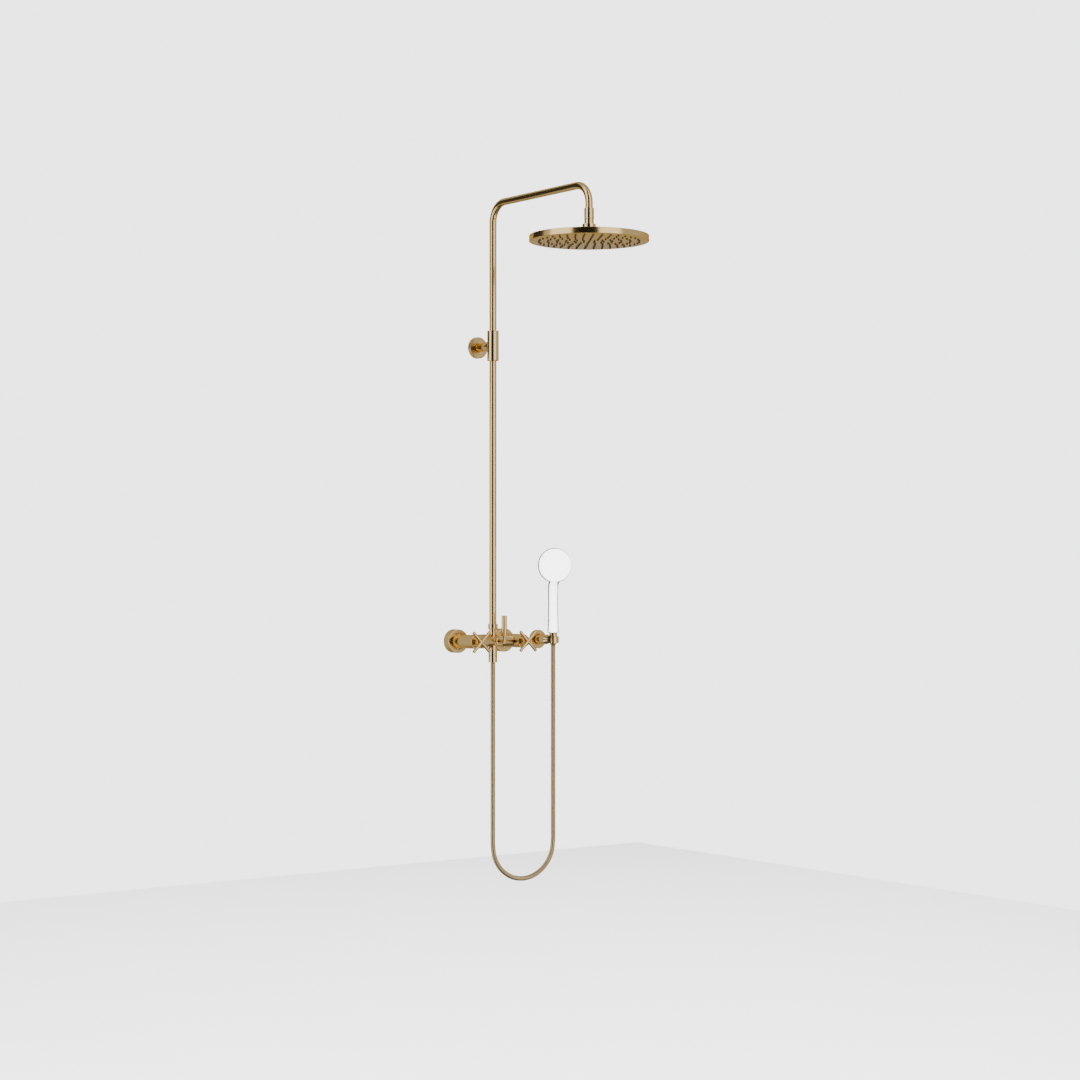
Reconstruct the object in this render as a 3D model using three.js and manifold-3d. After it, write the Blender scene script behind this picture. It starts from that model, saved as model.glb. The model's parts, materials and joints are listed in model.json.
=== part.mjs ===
// Rainfall shower column: exposed two-handle mixer, riser, overhead arm with a rain head, hose and hand shower.
//
// Frame: millimetres, +Z up, +Y into the wall, +X to the right. The origin is on the wall's face, behind the
// riser, at the height of the mixer's axis. Distances "out" are measured from the wall, towards -Y.

import * as THREE from 'three';
import { mergeVertices } from 'three/addons/utils/BufferGeometryUtils.js';
import Module from 'manifold-3d';

const wasm = await Module();
wasm.setup();

// ---------------------------------------------------------------- driving sizes

const GAP = 0.3; // between faces that meet
const RUN = 0.4; // between a piece and one that turns on it
const EDGE = 0.8; // chamfer on turned brass

const BODY_OUT = 75; // wall to the mixer's axis and the riser
const INLET_SPACING = 150;
const ARM_HEIGHT = 1152.5; // mixer's axis to the level arm's axis
const ARM_REACH = 411.6; // riser to the rain head's axis
const BRACKET_HEIGHT = 778.2;
const HOLDER_SIDE = 198.7;
const CRADLE_OUT = 75;

const TUBE_R = 9.5; // riser and arm
const TUBE_WALL = 1.5;
const ARM_BEND_R = 50;

const INLET_ROSETTE = { radius: 31.3, depth: 24.7, wall: 1.6 };
const BRACKET_ROSETTE = { radius: 28.7, depth: 10.5, wall: 1.5 };
const HOLDER_ROSETTE = { radius: 25.3, depth: 11, wall: 1.5 };

const UNION_R = 10.5;
const UNION_BORE = 7.5;
const UNION_LAP = 12; // how far the supply union goes into the barrel
const WASHER = 2; // thickness of a flat rubber washer

const BARREL_R = 18.25;
const BARREL_FRONT = 109;
const BARREL_LAP = 4.7; // how far the barrel reaches back behind its rosette's face
const BARREL_SOCKET_R = 12;
const BARREL_SEAT = 60; // out from the wall
const SEAT_BORE = 6;
const CHAMBER_R = 13;
const PORT_R = 8; // barrel to mixer body

const HEADWORK_SLEEVE = { radius: 11, bore: 9, end: 92 };
const HEADWORK_NECK_R = 7;
const HEADWORK_NECK = 5; // length past the barrel's face
const CERAMIC_DISC = { radius: 8.6, thick: 2.8, hole: 2.2, spread: 4.6 };
const SPINDLE_R = 4.1;
const SPINDLE_PLATE = 2.5;

const HUB_R = 11;
const HUB_LENGTH = 15.6;
const HUB_CAP = 1.7; // brass left in front of the spindle
const ROD_R = 4.4;
const CROSS_SPAN = 72; // tip to tip
const CROSS_BOSS_R = 6;
const HANDLE_SCREW_R = 1.4;

const BODY_R = 15.2;
const BODY_BORE = 9;
const COLLAR = { radius: 18.4, left: -58, right: -26 };

const DIVERTER_SIDE = 8; // right of the riser
const DIVERTER_BORE = 11.5;
const DIVERTER_FACE = 17; // out from the mixer's axis
const BONNET = { radius: 12.2, depth: 3.4 };
const DIVERTER_SPINDLE_R = 4;
const LEVER_OUT = 40; // out from the mixer's axis
const LEVER_ROD = { radius: 4.2, low: -5.2 };
const LEVER_GRIP = { radius: 7.3, low: 14.2, high: 68 };
const GRIP_CAP = 7.5; // solid end of the grip above its rod

const RISER_SOCKET = { radius: TUBE_R + 0.8, top: 31.4 };
const RISER_NIPPLE = { radius: TUBE_R - 0.7, bore: 6, length: 4.6 };
const RISER_NUT = { radius: TUBE_R + 3.4, low: 32.2, high: 45.3 };

const OUTLET = { radius: 11.6, low: -37.3 };
const OUTLET_NIPPLE = { radius: 9.3, bore: 7, length: 9.7 };
const CHECK_VALVE = { high: -20, low: -34, bore: 3.5 };
const HOSE_NUT_LOW = -55.5;
const HOSE_R = 6.5;
const HOSE_BORE = 5;

const BRACKET_SLEEVE = { radius: 15.5, length: 79.2 };
const BRACKET_NECK = { wallRadius: 11, sleeveRadius: 13.5, back: 7 };
const ORING = { section: 2.2, spread: 40 };
const BRACKET_SCREW = { radius: 1.5, height: 30, head: 14.5 };
const BASE_DISC = 5; // thickness of the fixing discs on the wall
const BASE_SPIGOT_R = 5.7;

const BALL = { radius: 7.9, height: 1052, neck: 3.6, foot: 5.1, footLow: 1027, bore: 2 };
const BALL_CROWN = 2; // room over the ball, under the sleeve
const SOCKET_WALL = 3.7;
const SOCKET_R = BALL.radius + RUN + SOCKET_WALL;
const SLEEVE_LOW = BALL.height + BALL.radius + BALL_CROWN;
const ARM_SLEEVE = { radius: 12.4, low: SLEEVE_LOW, high: SLEEVE_LOW + 27.6, ledge: 4.1 };
const SOCKET_MOUTH = THREE.MathUtils.degToRad(38);
const LOCK_SCREW = { radius: 1.4, height: 1053.6, turn: THREE.MathUtils.degToRad(75) };
const HEAD_FLANGE = { radius: 17, low: 1036.3, high: 1049.7 };

const HEAD_R = 150;
const HEAD_LOW = 1006.4;
const HEAD_RIM = 14.5;
const HEAD_WALL = 1.7;
const HEAD_DOME = { radius: 26, height: 1026 };
const SPRAY_PLATE = 2;
const HEAD_MAT = { radius: 136, thick: 2.2 };
const RING_TURN = THREE.MathUtils.degToRad(3.1);
const NOZZLE = { radius: 2.5, tip: 2.2, stand: 3, gap: 0.35 };
const HEAD_RINGS = [
  { radius: 15, count: 6 },
  { radius: 36.4, count: 12 },
  { radius: 58.3, count: 18 },
  { radius: 80.7, count: 24 },
  { radius: 103.4, count: 30 },
  { radius: 125.7, count: 36 },
];

const HOLDER_NECK = { radius: 13.2, taper: 47, front: 58, stub: 9 };
const CRADLE = { radius: 15.8, height: 18.6, liner: 13.2, slot: 14 };
const CRADLE_TURN = THREE.MathUtils.degToRad(60); // slot's direction, from straight out towards the mixer
const CONE_NUT = { rim: 10.9, radius: 10.1, foot: 7.2, high: 18.4, taper: -9, low: -14.5 };

const HANDLE = { foot: 13.4, waist: 11.8, neck: 12.2, length: 146, bore: 5 };
const HANDSET_HEAD = { radius: 44.5, height: 181, forward: 15.5, half: 9, back: 41, recess: 40 };
const HANDSET_TURN = THREE.MathUtils.degToRad(22); // in its cradle, towards the mixer
const HANDSET_PLATE = 1.8;
const HANDSET_MAT = { radius: 38, thick: 2 };
const HANDSET_RINGS = [
  { radius: 12, count: 6 },
  { radius: 26, count: 12 },
];

// The hose's centreline from the mixer's outlet, down, round the loop and up to the hand shower.
const HOSE_ROUTE = [
  [0, -75, -55.8],
  [0, -75, -90],
  [0, -75, -150],
  [0, -75, -215],
  [0, -75, -285],
  [0, -75, -355],
  [0, -75, -425],
  [0, -75, -490],
  [0.6, -75, -540],
  [8.1, -75, -575],
  [29.3, -75, -604.5],
  [61.4, -75, -624.6],
  [99.3, -75, -631.7],
  [137.3, -75, -624.6],
  [169.4, -75, -604.5],
  [190.6, -75, -575],
  [198.1, -75, -540],
  [198.7, -75, -490],
  [198.7, -75, -425],
  [198.7, -75, -355],
  [198.7, -75, -285],
  [198.7, -75, -215],
  [198.7, -75, -150],
  [198.7, -75, -90],
  [198.7, -75, -45],
  [198.7, -75, -14.8],
];
const HOSE_SIDES = 8;
const HOSE_STEPS = 44;

// ---------------------------------------------------------------- finishes

const FINISHES = {
  brass: { color: 0xb09260, roughness: 0.22, metalness: 1 },
  rubber: { color: 0x1c1c1e, roughness: 0.85, metalness: 0 },
  silicone: { color: 0x4a4b4d, roughness: 0.6, metalness: 0 },
  paleSilicone: { color: 0xe9e9e7, roughness: 0.6, metalness: 0 },
  ceramic: { color: 0xe8e6df, roughness: 0.2, metalness: 0 },
  blackPlastic: { color: 0x1d2022, roughness: 0.45, metalness: 0 },
  whitePlastic: { color: 0xf2f2f0, roughness: 0.3, metalness: 0 },
  steel: { color: 0x8c8c8a, roughness: 0.35, metalness: 1 },
};

// ---------------------------------------------------------------- shaping

/** Merge shared corners, drop faces of no area and face every triangle outwards. */
function closed(geometry) {
  const bare = geometry.clone();
  bare.deleteAttribute('normal');
  bare.deleteAttribute('uv');
  const whole = mergeVertices(bare, 1e-4);
  const at = whole.getAttribute('position');
  const corners = whole.getIndex().array;
  const kept = [];
  let volume = 0;
  const [a, b, c] = [new THREE.Vector3(), new THREE.Vector3(), new THREE.Vector3()];
  for (let i = 0; i < corners.length; i += 3) {
    const [p, q, r] = [corners[i], corners[i + 1], corners[i + 2]];
    if (p === q || q === r || r === p) continue;
    kept.push(p, q, r);
    a.fromBufferAttribute(at, p);
    b.fromBufferAttribute(at, q);
    c.fromBufferAttribute(at, r);
    volume += a.dot(b.cross(c));
  }
  if (volume < 0) kept.reverse();
  whole.setIndex(kept);
  return whole;
}

/** A closed geometry as a solid that can be cut and joined. */
function solid(geometry) {
  const whole = closed(geometry);
  return new wasm.Manifold(new wasm.Mesh({
    numProp: 3,
    vertProperties: Float32Array.from(whole.getAttribute('position').array),
    triVerts: Uint32Array.from(whole.getIndex().array),
  }));
}

/** The geometry of a cut or joined solid. */
function surface(shape) {
  const mesh = shape.getMesh();
  const geometry = new THREE.BufferGeometry();
  geometry.setAttribute('position', new THREE.Float32BufferAttribute(mesh.vertProperties, 3));
  geometry.setIndex(Array.from(mesh.triVerts));
  return geometry;
}

/** Join the first list of geometries and cut the second list out of them. */
function carve(joined, cuts = []) {
  let shape = solid(joined[0]);
  for (const other of joined.slice(1)) shape = shape.add(solid(other));
  for (const cut of cuts) shape = shape.subtract(solid(cut));
  return surface(shape);
}

const TURNS = {
  up: (geometry) => geometry.rotateX(Math.PI / 2),
  out: (geometry) => geometry.rotateX(Math.PI),
  right: (geometry) => geometry.rotateZ(-Math.PI / 2),
};

/** Turn an outline of [radius, distance] points about an axis that runs up, out from the wall or right. */
function turned(outline, axis, sides = 24) {
  const points = outline.map(([radius, distance]) => new THREE.Vector2(radius, distance));
  const onAxis = outline[0][0] === 0 && outline[outline.length - 1][0] === 0;
  if (!onAxis) points.push(points[0].clone());
  return TURNS[axis](new THREE.LatheGeometry(points, sides));
}

/** A plain cylinder between two distances along an axis. */
function cylinder(radius, from, to, axis, sides = 24) {
  return turned([[0, from], [radius, from], [radius, to], [0, to]], axis, sides);
}

/** A plain ring between two distances along an axis. */
function ring(outer, bore, from, to, axis, sides = 24) {
  return turned([[bore, from], [outer, from], [outer, to], [bore, to]], axis, sides);
}

/** Points on an arc in the outline plane, from one angle to another, measured from the axis's low end. */
function arc(centre, radius, from, to, steps) {
  const points = [];
  for (let i = 0; i <= steps; i += 1) {
    const angle = from + (to - from) * (i / steps);
    points.push([radius * Math.sin(angle), centre - radius * Math.cos(angle)]);
  }
  return points;
}

/** A flat outline drawn in X and Z, thickened from one distance out to another. */
function plate(outline, from, to, curveSegments = 12) {
  const geometry = new THREE.ExtrudeGeometry(outline, { depth: to - from, bevelEnabled: false, curveSegments });
  return geometry.rotateX(Math.PI / 2).translate(0, -from, 0);
}

/** A named piece with a finish of its own, at a place in its group. */
function piece(name, finish, geometry, place = [0, 0, 0]) {
  const mesh = new THREE.Mesh(closed(geometry), new THREE.MeshStandardMaterial(FINISHES[finish]));
  mesh.name = name;
  mesh.position.set(...place);
  return mesh;
}

/** A group at a place, holding the pieces given. */
function group(place, ...pieces) {
  const holder = new THREE.Group();
  holder.position.set(...place);
  holder.add(...pieces);
  return holder;
}

/** A wall rosette: a shallow cup that opens to the wall, with a hole for what comes out of it. */
function rosetteShape({ radius, depth, wall }, hole, sides = 32) {
  return turned([
    [radius - wall, 0],
    [radius, 0],
    [radius, depth - EDGE],
    [radius - EDGE, depth],
    [hole, depth],
    [hole, depth - wall],
    [radius - wall, depth - wall],
  ], 'out', sides);
}

/** A centreline of straight runs and quarter bends, given as stations with their directions. */
class StationPath extends THREE.Curve {
  constructor(stations) {
    super();
    this.stations = stations;
  }

  at(share) {
    return this.stations[Math.round(share * (this.stations.length - 1))];
  }

  getPointAt(share) {
    return this.at(share).point.clone();
  }

  getTangentAt(share) {
    return this.at(share).direction.clone();
  }
}

// ---------------------------------------------------------------- nozzles

/** The places of nozzles on rings, with the first of each ring a little to one side of +X. */
function nozzlePlaces(rings) {
  return rings.flatMap(({ radius, count }) => Array.from({ length: count }, (_, i) => {
    const angle = (2 * Math.PI * i) / count - RING_TURN;
    return [radius * Math.cos(angle), radius * Math.sin(angle)];
  }));
}

const NOZZLE_SIDES = 4;

/** A spray plate whose holes let the nozzles through, lying from 0 to its thickness along +Z. */
function sprayPlate(radius, thick, rings) {
  const outline = new THREE.Shape().absarc(0, 0, radius, 0, 2 * Math.PI);
  for (const [x, y] of nozzlePlaces(rings)) {
    const hole = new THREE.Path();
    for (let i = 0; i < NOZZLE_SIDES; i += 1) {
      const angle = (2 * Math.PI * i) / NOZZLE_SIDES;
      const reach = NOZZLE.radius + NOZZLE.gap;
      const [u, v] = [x + reach * Math.cos(angle), y + reach * Math.sin(angle)];
      if (i === 0) hole.moveTo(u, v);
      else hole.lineTo(u, v);
    }
    hole.closePath();
    outline.holes.push(hole);
  }
  return new THREE.ExtrudeGeometry(outline, { depth: thick, bevelEnabled: false, curveSegments: 24 });
}

/** A soft mat from 0 to its thickness, with nozzles that reach down through the plate below it. */
function nozzleMat({ radius, thick }, plateThick, rings) {
  const mat = new THREE.ExtrudeGeometry(
    new THREE.Shape().absarc(0, 0, radius, 0, 2 * Math.PI),
    { depth: thick, bevelEnabled: false, curveSegments: 18 },
  );
  const tip = -(GAP + plateThick + NOZZLE.stand);
  const nozzle = turned([[0, tip], [NOZZLE.tip, tip], [NOZZLE.radius, 0.5], [0, 0.5]], 'up', NOZZLE_SIDES);
  const nozzles = nozzlePlaces(rings).map(([x, y]) => solid(nozzle.clone().translate(x, y, 0)));
  return surface(wasm.Manifold.union([solid(mat), ...nozzles]));
}

// ---------------------------------------------------------------- inlet valves

const HALF_SPACING = INLET_SPACING / 2;
const BARREL_BACK = INLET_ROSETTE.depth - BARREL_LAP;
const SOCKET_END = BARREL_BACK + UNION_LAP + GAP + WASHER + GAP;
const HUB_BACK = BARREL_FRONT + RUN;
const HUB_FRONT = HUB_BACK + HUB_LENGTH;
const SPINDLE_END = HUB_FRONT - HUB_CAP;
const DISC_BACK = BARREL_SEAT + GAP;
const PLATE_BACK = DISC_BACK + CERAMIC_DISC.thick + GAP;

/** One inlet with its barrel, headwork and cross handle. side is -1 on the left (hot), 1 on the right (cold). */
function inletValve(label, side) {
  const unionEnd = BARREL_BACK + UNION_LAP;
  const supplyUnion = turned([
    [UNION_BORE, GAP],
    [UNION_R, GAP],
    [UNION_R, BARREL_BACK + GAP],
    [BARREL_SOCKET_R - GAP, BARREL_BACK + GAP],
    [BARREL_SOCKET_R - GAP, unionEnd],
    [UNION_BORE, unionEnd],
  ], 'out', 16);
  const washer = ring(BARREL_SOCKET_R - GAP, UNION_BORE, unionEnd + GAP, unionEnd + GAP + WASHER, 'out', 16);

  const barrelOutline = [
    [BARREL_SOCKET_R, BARREL_BACK],
    [BARREL_R, BARREL_BACK],
    [BARREL_R, BARREL_FRONT - EDGE],
    [BARREL_R - EDGE, BARREL_FRONT],
    [CHAMBER_R, BARREL_FRONT],
    [CHAMBER_R, BARREL_SEAT],
    [SEAT_BORE, BARREL_SEAT],
    [SEAT_BORE, SOCKET_END],
    [BARREL_SOCKET_R, SOCKET_END],
  ];
  const port = side < 0
    ? cylinder(PORT_R, 0, BARREL_R + 1, 'right', 16)
    : cylinder(PORT_R, -BARREL_R - 1, 0, 'right', 16);
  const barrel = carve([turned(barrelOutline, 'out', 30)], [port.translate(0, -BODY_OUT, 0)]);

  const flange = CHAMBER_R - GAP;
  const neckEnd = BARREL_FRONT + HEADWORK_NECK;
  const sleeveBack = BARREL_SEAT + GAP;
  const headwork = carve([turned([
    [HEADWORK_SLEEVE.bore, sleeveBack],
    [HEADWORK_SLEEVE.radius, sleeveBack],
    [HEADWORK_SLEEVE.radius, HEADWORK_SLEEVE.end],
    [flange, HEADWORK_SLEEVE.end],
    [flange, BARREL_FRONT - GAP],
    [HEADWORK_NECK_R, BARREL_FRONT - GAP],
    [HEADWORK_NECK_R, neckEnd],
    [SPINDLE_R + RUN, neckEnd],
    [SPINDLE_R + RUN, HEADWORK_SLEEVE.end - 2],
    [HEADWORK_SLEEVE.bore, HEADWORK_SLEEVE.end - 2],
  ], 'out', 16)], [
    new THREE.BoxGeometry(2 * CHAMBER_R, PORT_R, PORT_R).translate(0, -BODY_OUT, 0),
  ]);

  const face = new THREE.Shape().absarc(0, 0, CERAMIC_DISC.radius, 0, 2 * Math.PI);
  for (const way of [-1, 1]) {
    face.holes.push(new THREE.Path().absarc(0, way * CERAMIC_DISC.spread, CERAMIC_DISC.hole, 0, 2 * Math.PI));
  }
  const disc = plate(face, DISC_BACK, DISC_BACK + CERAMIC_DISC.thick, 8);
  const plateEnd = PLATE_BACK + SPINDLE_PLATE;
  const spindle = turned([
    [0, PLATE_BACK],
    [CERAMIC_DISC.radius, PLATE_BACK],
    [CERAMIC_DISC.radius, plateEnd],
    [SPINDLE_R, plateEnd],
    [SPINDLE_R, SPINDLE_END],
    [0, SPINDLE_END],
  ], 'out', 18);

  const neckRoom = HEADWORK_NECK_R + RUN;
  const spindleRoom = SPINDLE_R + GAP;
  const screwOut = (neckEnd + RUN + SPINDLE_END) / 2;
  const hub = carve([turned([
    [neckRoom, HUB_BACK],
    [HUB_R, HUB_BACK],
    [HUB_R, HUB_FRONT - EDGE],
    [HUB_R - EDGE, HUB_FRONT],
    [0, HUB_FRONT],
    [0, SPINDLE_END + GAP],
    [spindleRoom, SPINDLE_END + GAP],
    [spindleRoom, neckEnd + RUN],
    [neckRoom, neckEnd + RUN],
  ], 'out', 24)], [
    cylinder(HANDLE_SCREW_R + GAP, -HUB_R - 1, 0, 'up', 10).translate(0, -screwOut, 0),
  ]);
  const screw = cylinder(HANDLE_SCREW_R, 1 - HUB_R, -spindleRoom, 'up', 10);

  const half = CROSS_SPAN / 2;
  const rodOutline = [
    [0, -half],
    [ROD_R - EDGE, -half],
    [ROD_R, EDGE - half],
    [ROD_R, half - EDGE],
    [ROD_R - EDGE, half],
    [0, half],
  ];
  const rodOut = HUB_FRONT + GAP + ROD_R;
  const cross = carve([
    turned(rodOutline, 'up', 16).rotateY(Math.PI / 4),
    turned(rodOutline, 'up', 16).rotateY(-Math.PI / 4),
    cylinder(CROSS_BOSS_R, -ROD_R, 0, 'out', 16),
  ]);

  return group(
    [side * HALF_SPACING, 0, 0],
    piece(`${label}_supply_union`, 'brass', supplyUnion),
    piece(`${label}_inlet_rosette`, 'brass', rosetteShape(INLET_ROSETTE, BARREL_R + GAP)),
    piece(`${label}_inlet_washer`, 'rubber', washer),
    piece(`${label}_valve_barrel`, 'brass', barrel),
    piece(`${label}_headwork`, 'brass', headwork),
    piece(`${label}_ceramic_disc`, 'ceramic', disc),
    piece(`${label}_valve_spindle`, 'brass', spindle),
    piece(`${label}_handle_hub`, 'brass', hub),
    piece(`${label}_handle_screw`, 'steel', screw, [0, -screwOut, 0]),
    piece(`${label}_cross_handle`, 'brass', cross, [0, -rodOut, 0]),
  );
}

// ---------------------------------------------------------------- mixer body and diverter

const NIPPLE_TOP = RISER_SOCKET.top + RISER_NIPPLE.length;
const OUTLET_END = OUTLET.low - OUTLET_NIPPLE.length;

function mixerBody() {
  const barrelRoom = (side) => cylinder(BARREL_R + GAP, -BODY_OUT, BODY_OUT, 'out', 30)
    .translate(side * HALF_SPACING, 0, 0);
  const branch = (radius, from, to) => cylinder(radius, from, to, 'out', 24).translate(DIVERTER_SIDE, 0, 0);
  const body = carve([
    cylinder(BODY_R, -HALF_SPACING, HALF_SPACING, 'right', 26),
    branch(BODY_R, 0, DIVERTER_FACE),
    turned([
      [0, 0],
      [RISER_SOCKET.radius, 0],
      [RISER_SOCKET.radius, RISER_SOCKET.top],
      [RISER_NIPPLE.radius, RISER_SOCKET.top],
      [RISER_NIPPLE.radius, NIPPLE_TOP],
      [0, NIPPLE_TOP],
    ], 'up', 16),
    turned([
      [0, OUTLET_END],
      [OUTLET_NIPPLE.radius, OUTLET_END],
      [OUTLET_NIPPLE.radius, OUTLET.low],
      [OUTLET.radius, OUTLET.low],
      [OUTLET.radius, 0],
      [0, 0],
    ], 'up', 16),
  ], [
    barrelRoom(-1),
    barrelRoom(1),
    cylinder(BODY_BORE, -HALF_SPACING, HALF_SPACING, 'right', 18),
    branch(DIVERTER_BORE, 0, DIVERTER_FACE + 1),
    cylinder(RISER_NIPPLE.bore, 0, NIPPLE_TOP + 1, 'up', 16),
    cylinder(OUTLET_NIPPLE.bore, OUTLET_END - 1, 0, 'up', 16),
  ]);
  const collar = carve([
    ring(COLLAR.radius, BODY_R + GAP, COLLAR.left, COLLAR.right, 'right', 30),
  ], [barrelRoom(-1)]);

  const cartridgeBack = BODY_BORE / 2;
  const cartridge = ring(
    DIVERTER_BORE - GAP,
    DIVERTER_SPINDLE_R + RUN,
    cartridgeBack,
    DIVERTER_FACE - GAP,
    'out',
    16,
  );
  const bonnetBack = DIVERTER_FACE + GAP;
  const bonnetFront = bonnetBack + BONNET.depth;
  const bonnet = turned([
    [DIVERTER_SPINDLE_R + RUN, bonnetBack],
    [BONNET.radius, bonnetBack],
    [BONNET.radius, bonnetFront - 2 * EDGE],
    [BONNET.radius - EDGE, bonnetFront - EDGE / 2],
    [BONNET.radius - 2.5 * EDGE, bonnetFront],
    [DIVERTER_SPINDLE_R + RUN, bonnetFront],
  ], 'out', 24);
  const spindleEnd = LEVER_OUT - LEVER_ROD.radius - GAP;
  const spindle = cylinder(DIVERTER_SPINDLE_R, cartridgeBack, spindleEnd, 'out', 18);

  const rodTop = LEVER_GRIP.high - GRIP_CAP;
  const rod = cylinder(LEVER_ROD.radius, LEVER_ROD.low, rodTop, 'up', 18);
  const grip = turned([
    [LEVER_ROD.radius + GAP, LEVER_GRIP.low],
    [LEVER_GRIP.radius - EDGE, LEVER_GRIP.low],
    [LEVER_GRIP.radius, LEVER_GRIP.low + EDGE],
    [LEVER_GRIP.radius, LEVER_GRIP.high - EDGE],
    [LEVER_GRIP.radius - EDGE, LEVER_GRIP.high],
    [0, LEVER_GRIP.high],
    [0, rodTop + GAP],
    [LEVER_ROD.radius + GAP, rodTop + GAP],
  ], 'up', 16);

  return group(
    [0, -BODY_OUT, 0],
    piece('mixer_body', 'brass', body),
    piece('body_collar', 'brass', collar),
    group(
      [DIVERTER_SIDE, 0, 0],
      piece('diverter_cartridge', 'blackPlastic', cartridge),
      piece('diverter_bonnet', 'brass', bonnet),
      piece('diverter_spindle', 'brass', spindle),
      piece('diverter_rod', 'brass', rod, [0, -LEVER_OUT, 0]),
      piece('diverter_grip', 'brass', grip, [0, -LEVER_OUT, 0]),
    ),
  );
}

// ---------------------------------------------------------------- riser, bracket and arm

const RISER_LOW = NIPPLE_TOP + GAP + WASHER + GAP;
const HEAD_OUT = BODY_OUT + ARM_REACH;

function riserNut() {
  const room = TUBE_R + GAP;
  return turned([
    [room, RISER_NUT.low],
    [RISER_NUT.radius - EDGE, RISER_NUT.low],
    [RISER_NUT.radius, RISER_NUT.low + EDGE],
    [RISER_NUT.radius, RISER_NUT.high - EDGE],
    [RISER_NUT.radius - EDGE, RISER_NUT.high],
    [room, RISER_NUT.high],
  ], 'up', 24);
}

/** The arm's centreline: up from the bracket, out over the bather, and down to the ball joint. */
function armPath() {
  const stations = [];
  const add = (y, z, dy, dz) => stations.push({
    point: new THREE.Vector3(0, y, z),
    direction: new THREE.Vector3(0, dy, dz).normalize(),
  });
  const bendSteps = 6;
  add(-BODY_OUT, BRACKET_HEIGHT + GAP / 2, 0, 1);
  for (let i = 0; i <= bendSteps; i += 1) {
    const angle = (Math.PI / 2) * (i / bendSteps);
    const [across, along] = [Math.cos(angle), Math.sin(angle)];
    add(-BODY_OUT - ARM_BEND_R * (1 - across), ARM_HEIGHT - ARM_BEND_R * (1 - along), -along, across);
  }
  for (let i = 0; i <= bendSteps; i += 1) {
    const angle = (Math.PI / 2) * (i / bendSteps);
    const [across, along] = [Math.cos(angle), Math.sin(angle)];
    add(-HEAD_OUT + ARM_BEND_R * (1 - along), ARM_HEIGHT - ARM_BEND_R * (1 - across), -across, -along);
  }
  add(-HEAD_OUT, ARM_SLEEVE.low + ARM_SLEEVE.ledge + GAP, 0, -1);
  return new StationPath(stations);
}

function armTube() {
  const path = armPath();
  const section = new THREE.Shape().absarc(0, 0, TUBE_R, 0, 2 * Math.PI);
  section.holes.push(new THREE.Path().absarc(0, 0, TUBE_R - TUBE_WALL, 0, 2 * Math.PI));
  return new THREE.ExtrudeGeometry(section, {
    steps: path.stations.length - 1,
    extrudePath: path,
    curveSegments: 9,
  });
}

/** A fixing disc against the wall with a spigot that carries a neck. */
function wallBase(radius, reach) {
  return turned([
    [0, 0],
    [radius, 0],
    [radius, BASE_DISC],
    [BASE_SPIGOT_R, BASE_DISC],
    [BASE_SPIGOT_R, reach],
    [0, reach],
  ], 'out', 24);
}

function upperBracket() {
  const sleeveHalf = BRACKET_SLEEVE.length / 2;
  const room = TUBE_R + GAP;
  const groove = room + ORING.section + GAP;
  const ringHalf = ORING.section / 2;
  const grooveHalf = ringHalf + GAP;
  const notch = (height) => [
    [room, height + grooveHalf],
    [groove, height + grooveHalf],
    [groove, height - grooveHalf],
    [room, height - grooveHalf],
  ];
  const screwHole = cylinder(BRACKET_SCREW.radius + GAP, -BRACKET_SLEEVE.radius - 1, 0, 'out', 10)
    .translate(0, 0, BRACKET_SCREW.height);
  const sleeve = carve([turned([
    [room, -sleeveHalf],
    [BRACKET_SLEEVE.radius - EDGE, -sleeveHalf],
    [BRACKET_SLEEVE.radius, EDGE - sleeveHalf],
    [BRACKET_SLEEVE.radius, sleeveHalf - EDGE],
    [BRACKET_SLEEVE.radius - EDGE, sleeveHalf],
    [room, sleeveHalf],
    ...notch(ORING.spread / 2),
    ...notch(-ORING.spread / 2),
  ], 'up', 24)], [screwHole]);

  const oring = ring(room + ORING.section, room, -ringHalf, ringHalf, 'up', 16);
  const screw = cylinder(BRACKET_SCREW.radius, -BRACKET_SCREW.head, -room, 'out', 10);

  const neckReach = BODY_OUT - room;
  const neckBore = BASE_SPIGOT_R + GAP;
  const spigotEnd = BODY_OUT / 2;
  const neck = carve([turned([
    [neckBore, BRACKET_NECK.back],
    [BRACKET_NECK.wallRadius, BRACKET_NECK.back],
    [BRACKET_NECK.wallRadius, BRACKET_ROSETTE.depth + 2],
    [BRACKET_NECK.sleeveRadius, neckReach],
    [0, neckReach],
    [0, spigotEnd + GAP],
    [neckBore, spigotEnd + GAP],
  ].reverse(), 'out', 24)], [
    cylinder(BRACKET_SLEEVE.radius + GAP, -sleeveHalf, sleeveHalf, 'up', 24).translate(0, -BODY_OUT, 0),
  ]);
  const hole = BRACKET_NECK.wallRadius + GAP;

  return group(
    [0, 0, BRACKET_HEIGHT],
    piece('bracket_base', 'steel', wallBase(BRACKET_ROSETTE.radius - 2 * BRACKET_ROSETTE.wall, spigotEnd)),
    piece('bracket_rosette', 'brass', rosetteShape(BRACKET_ROSETTE, hole)),
    piece('bracket_neck', 'brass', neck),
    piece('bracket_sleeve', 'brass', sleeve, [0, -BODY_OUT, 0]),
    piece('riser_o_ring', 'rubber', oring, [0, -BODY_OUT, -ORING.spread / 2]),
    piece('arm_o_ring', 'rubber', oring, [0, -BODY_OUT, ORING.spread / 2]),
    piece('bracket_screw', 'steel', screw, [0, -BODY_OUT, BRACKET_SCREW.height]),
  );
}

// ---------------------------------------------------------------- rain head and its ball joint

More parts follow.
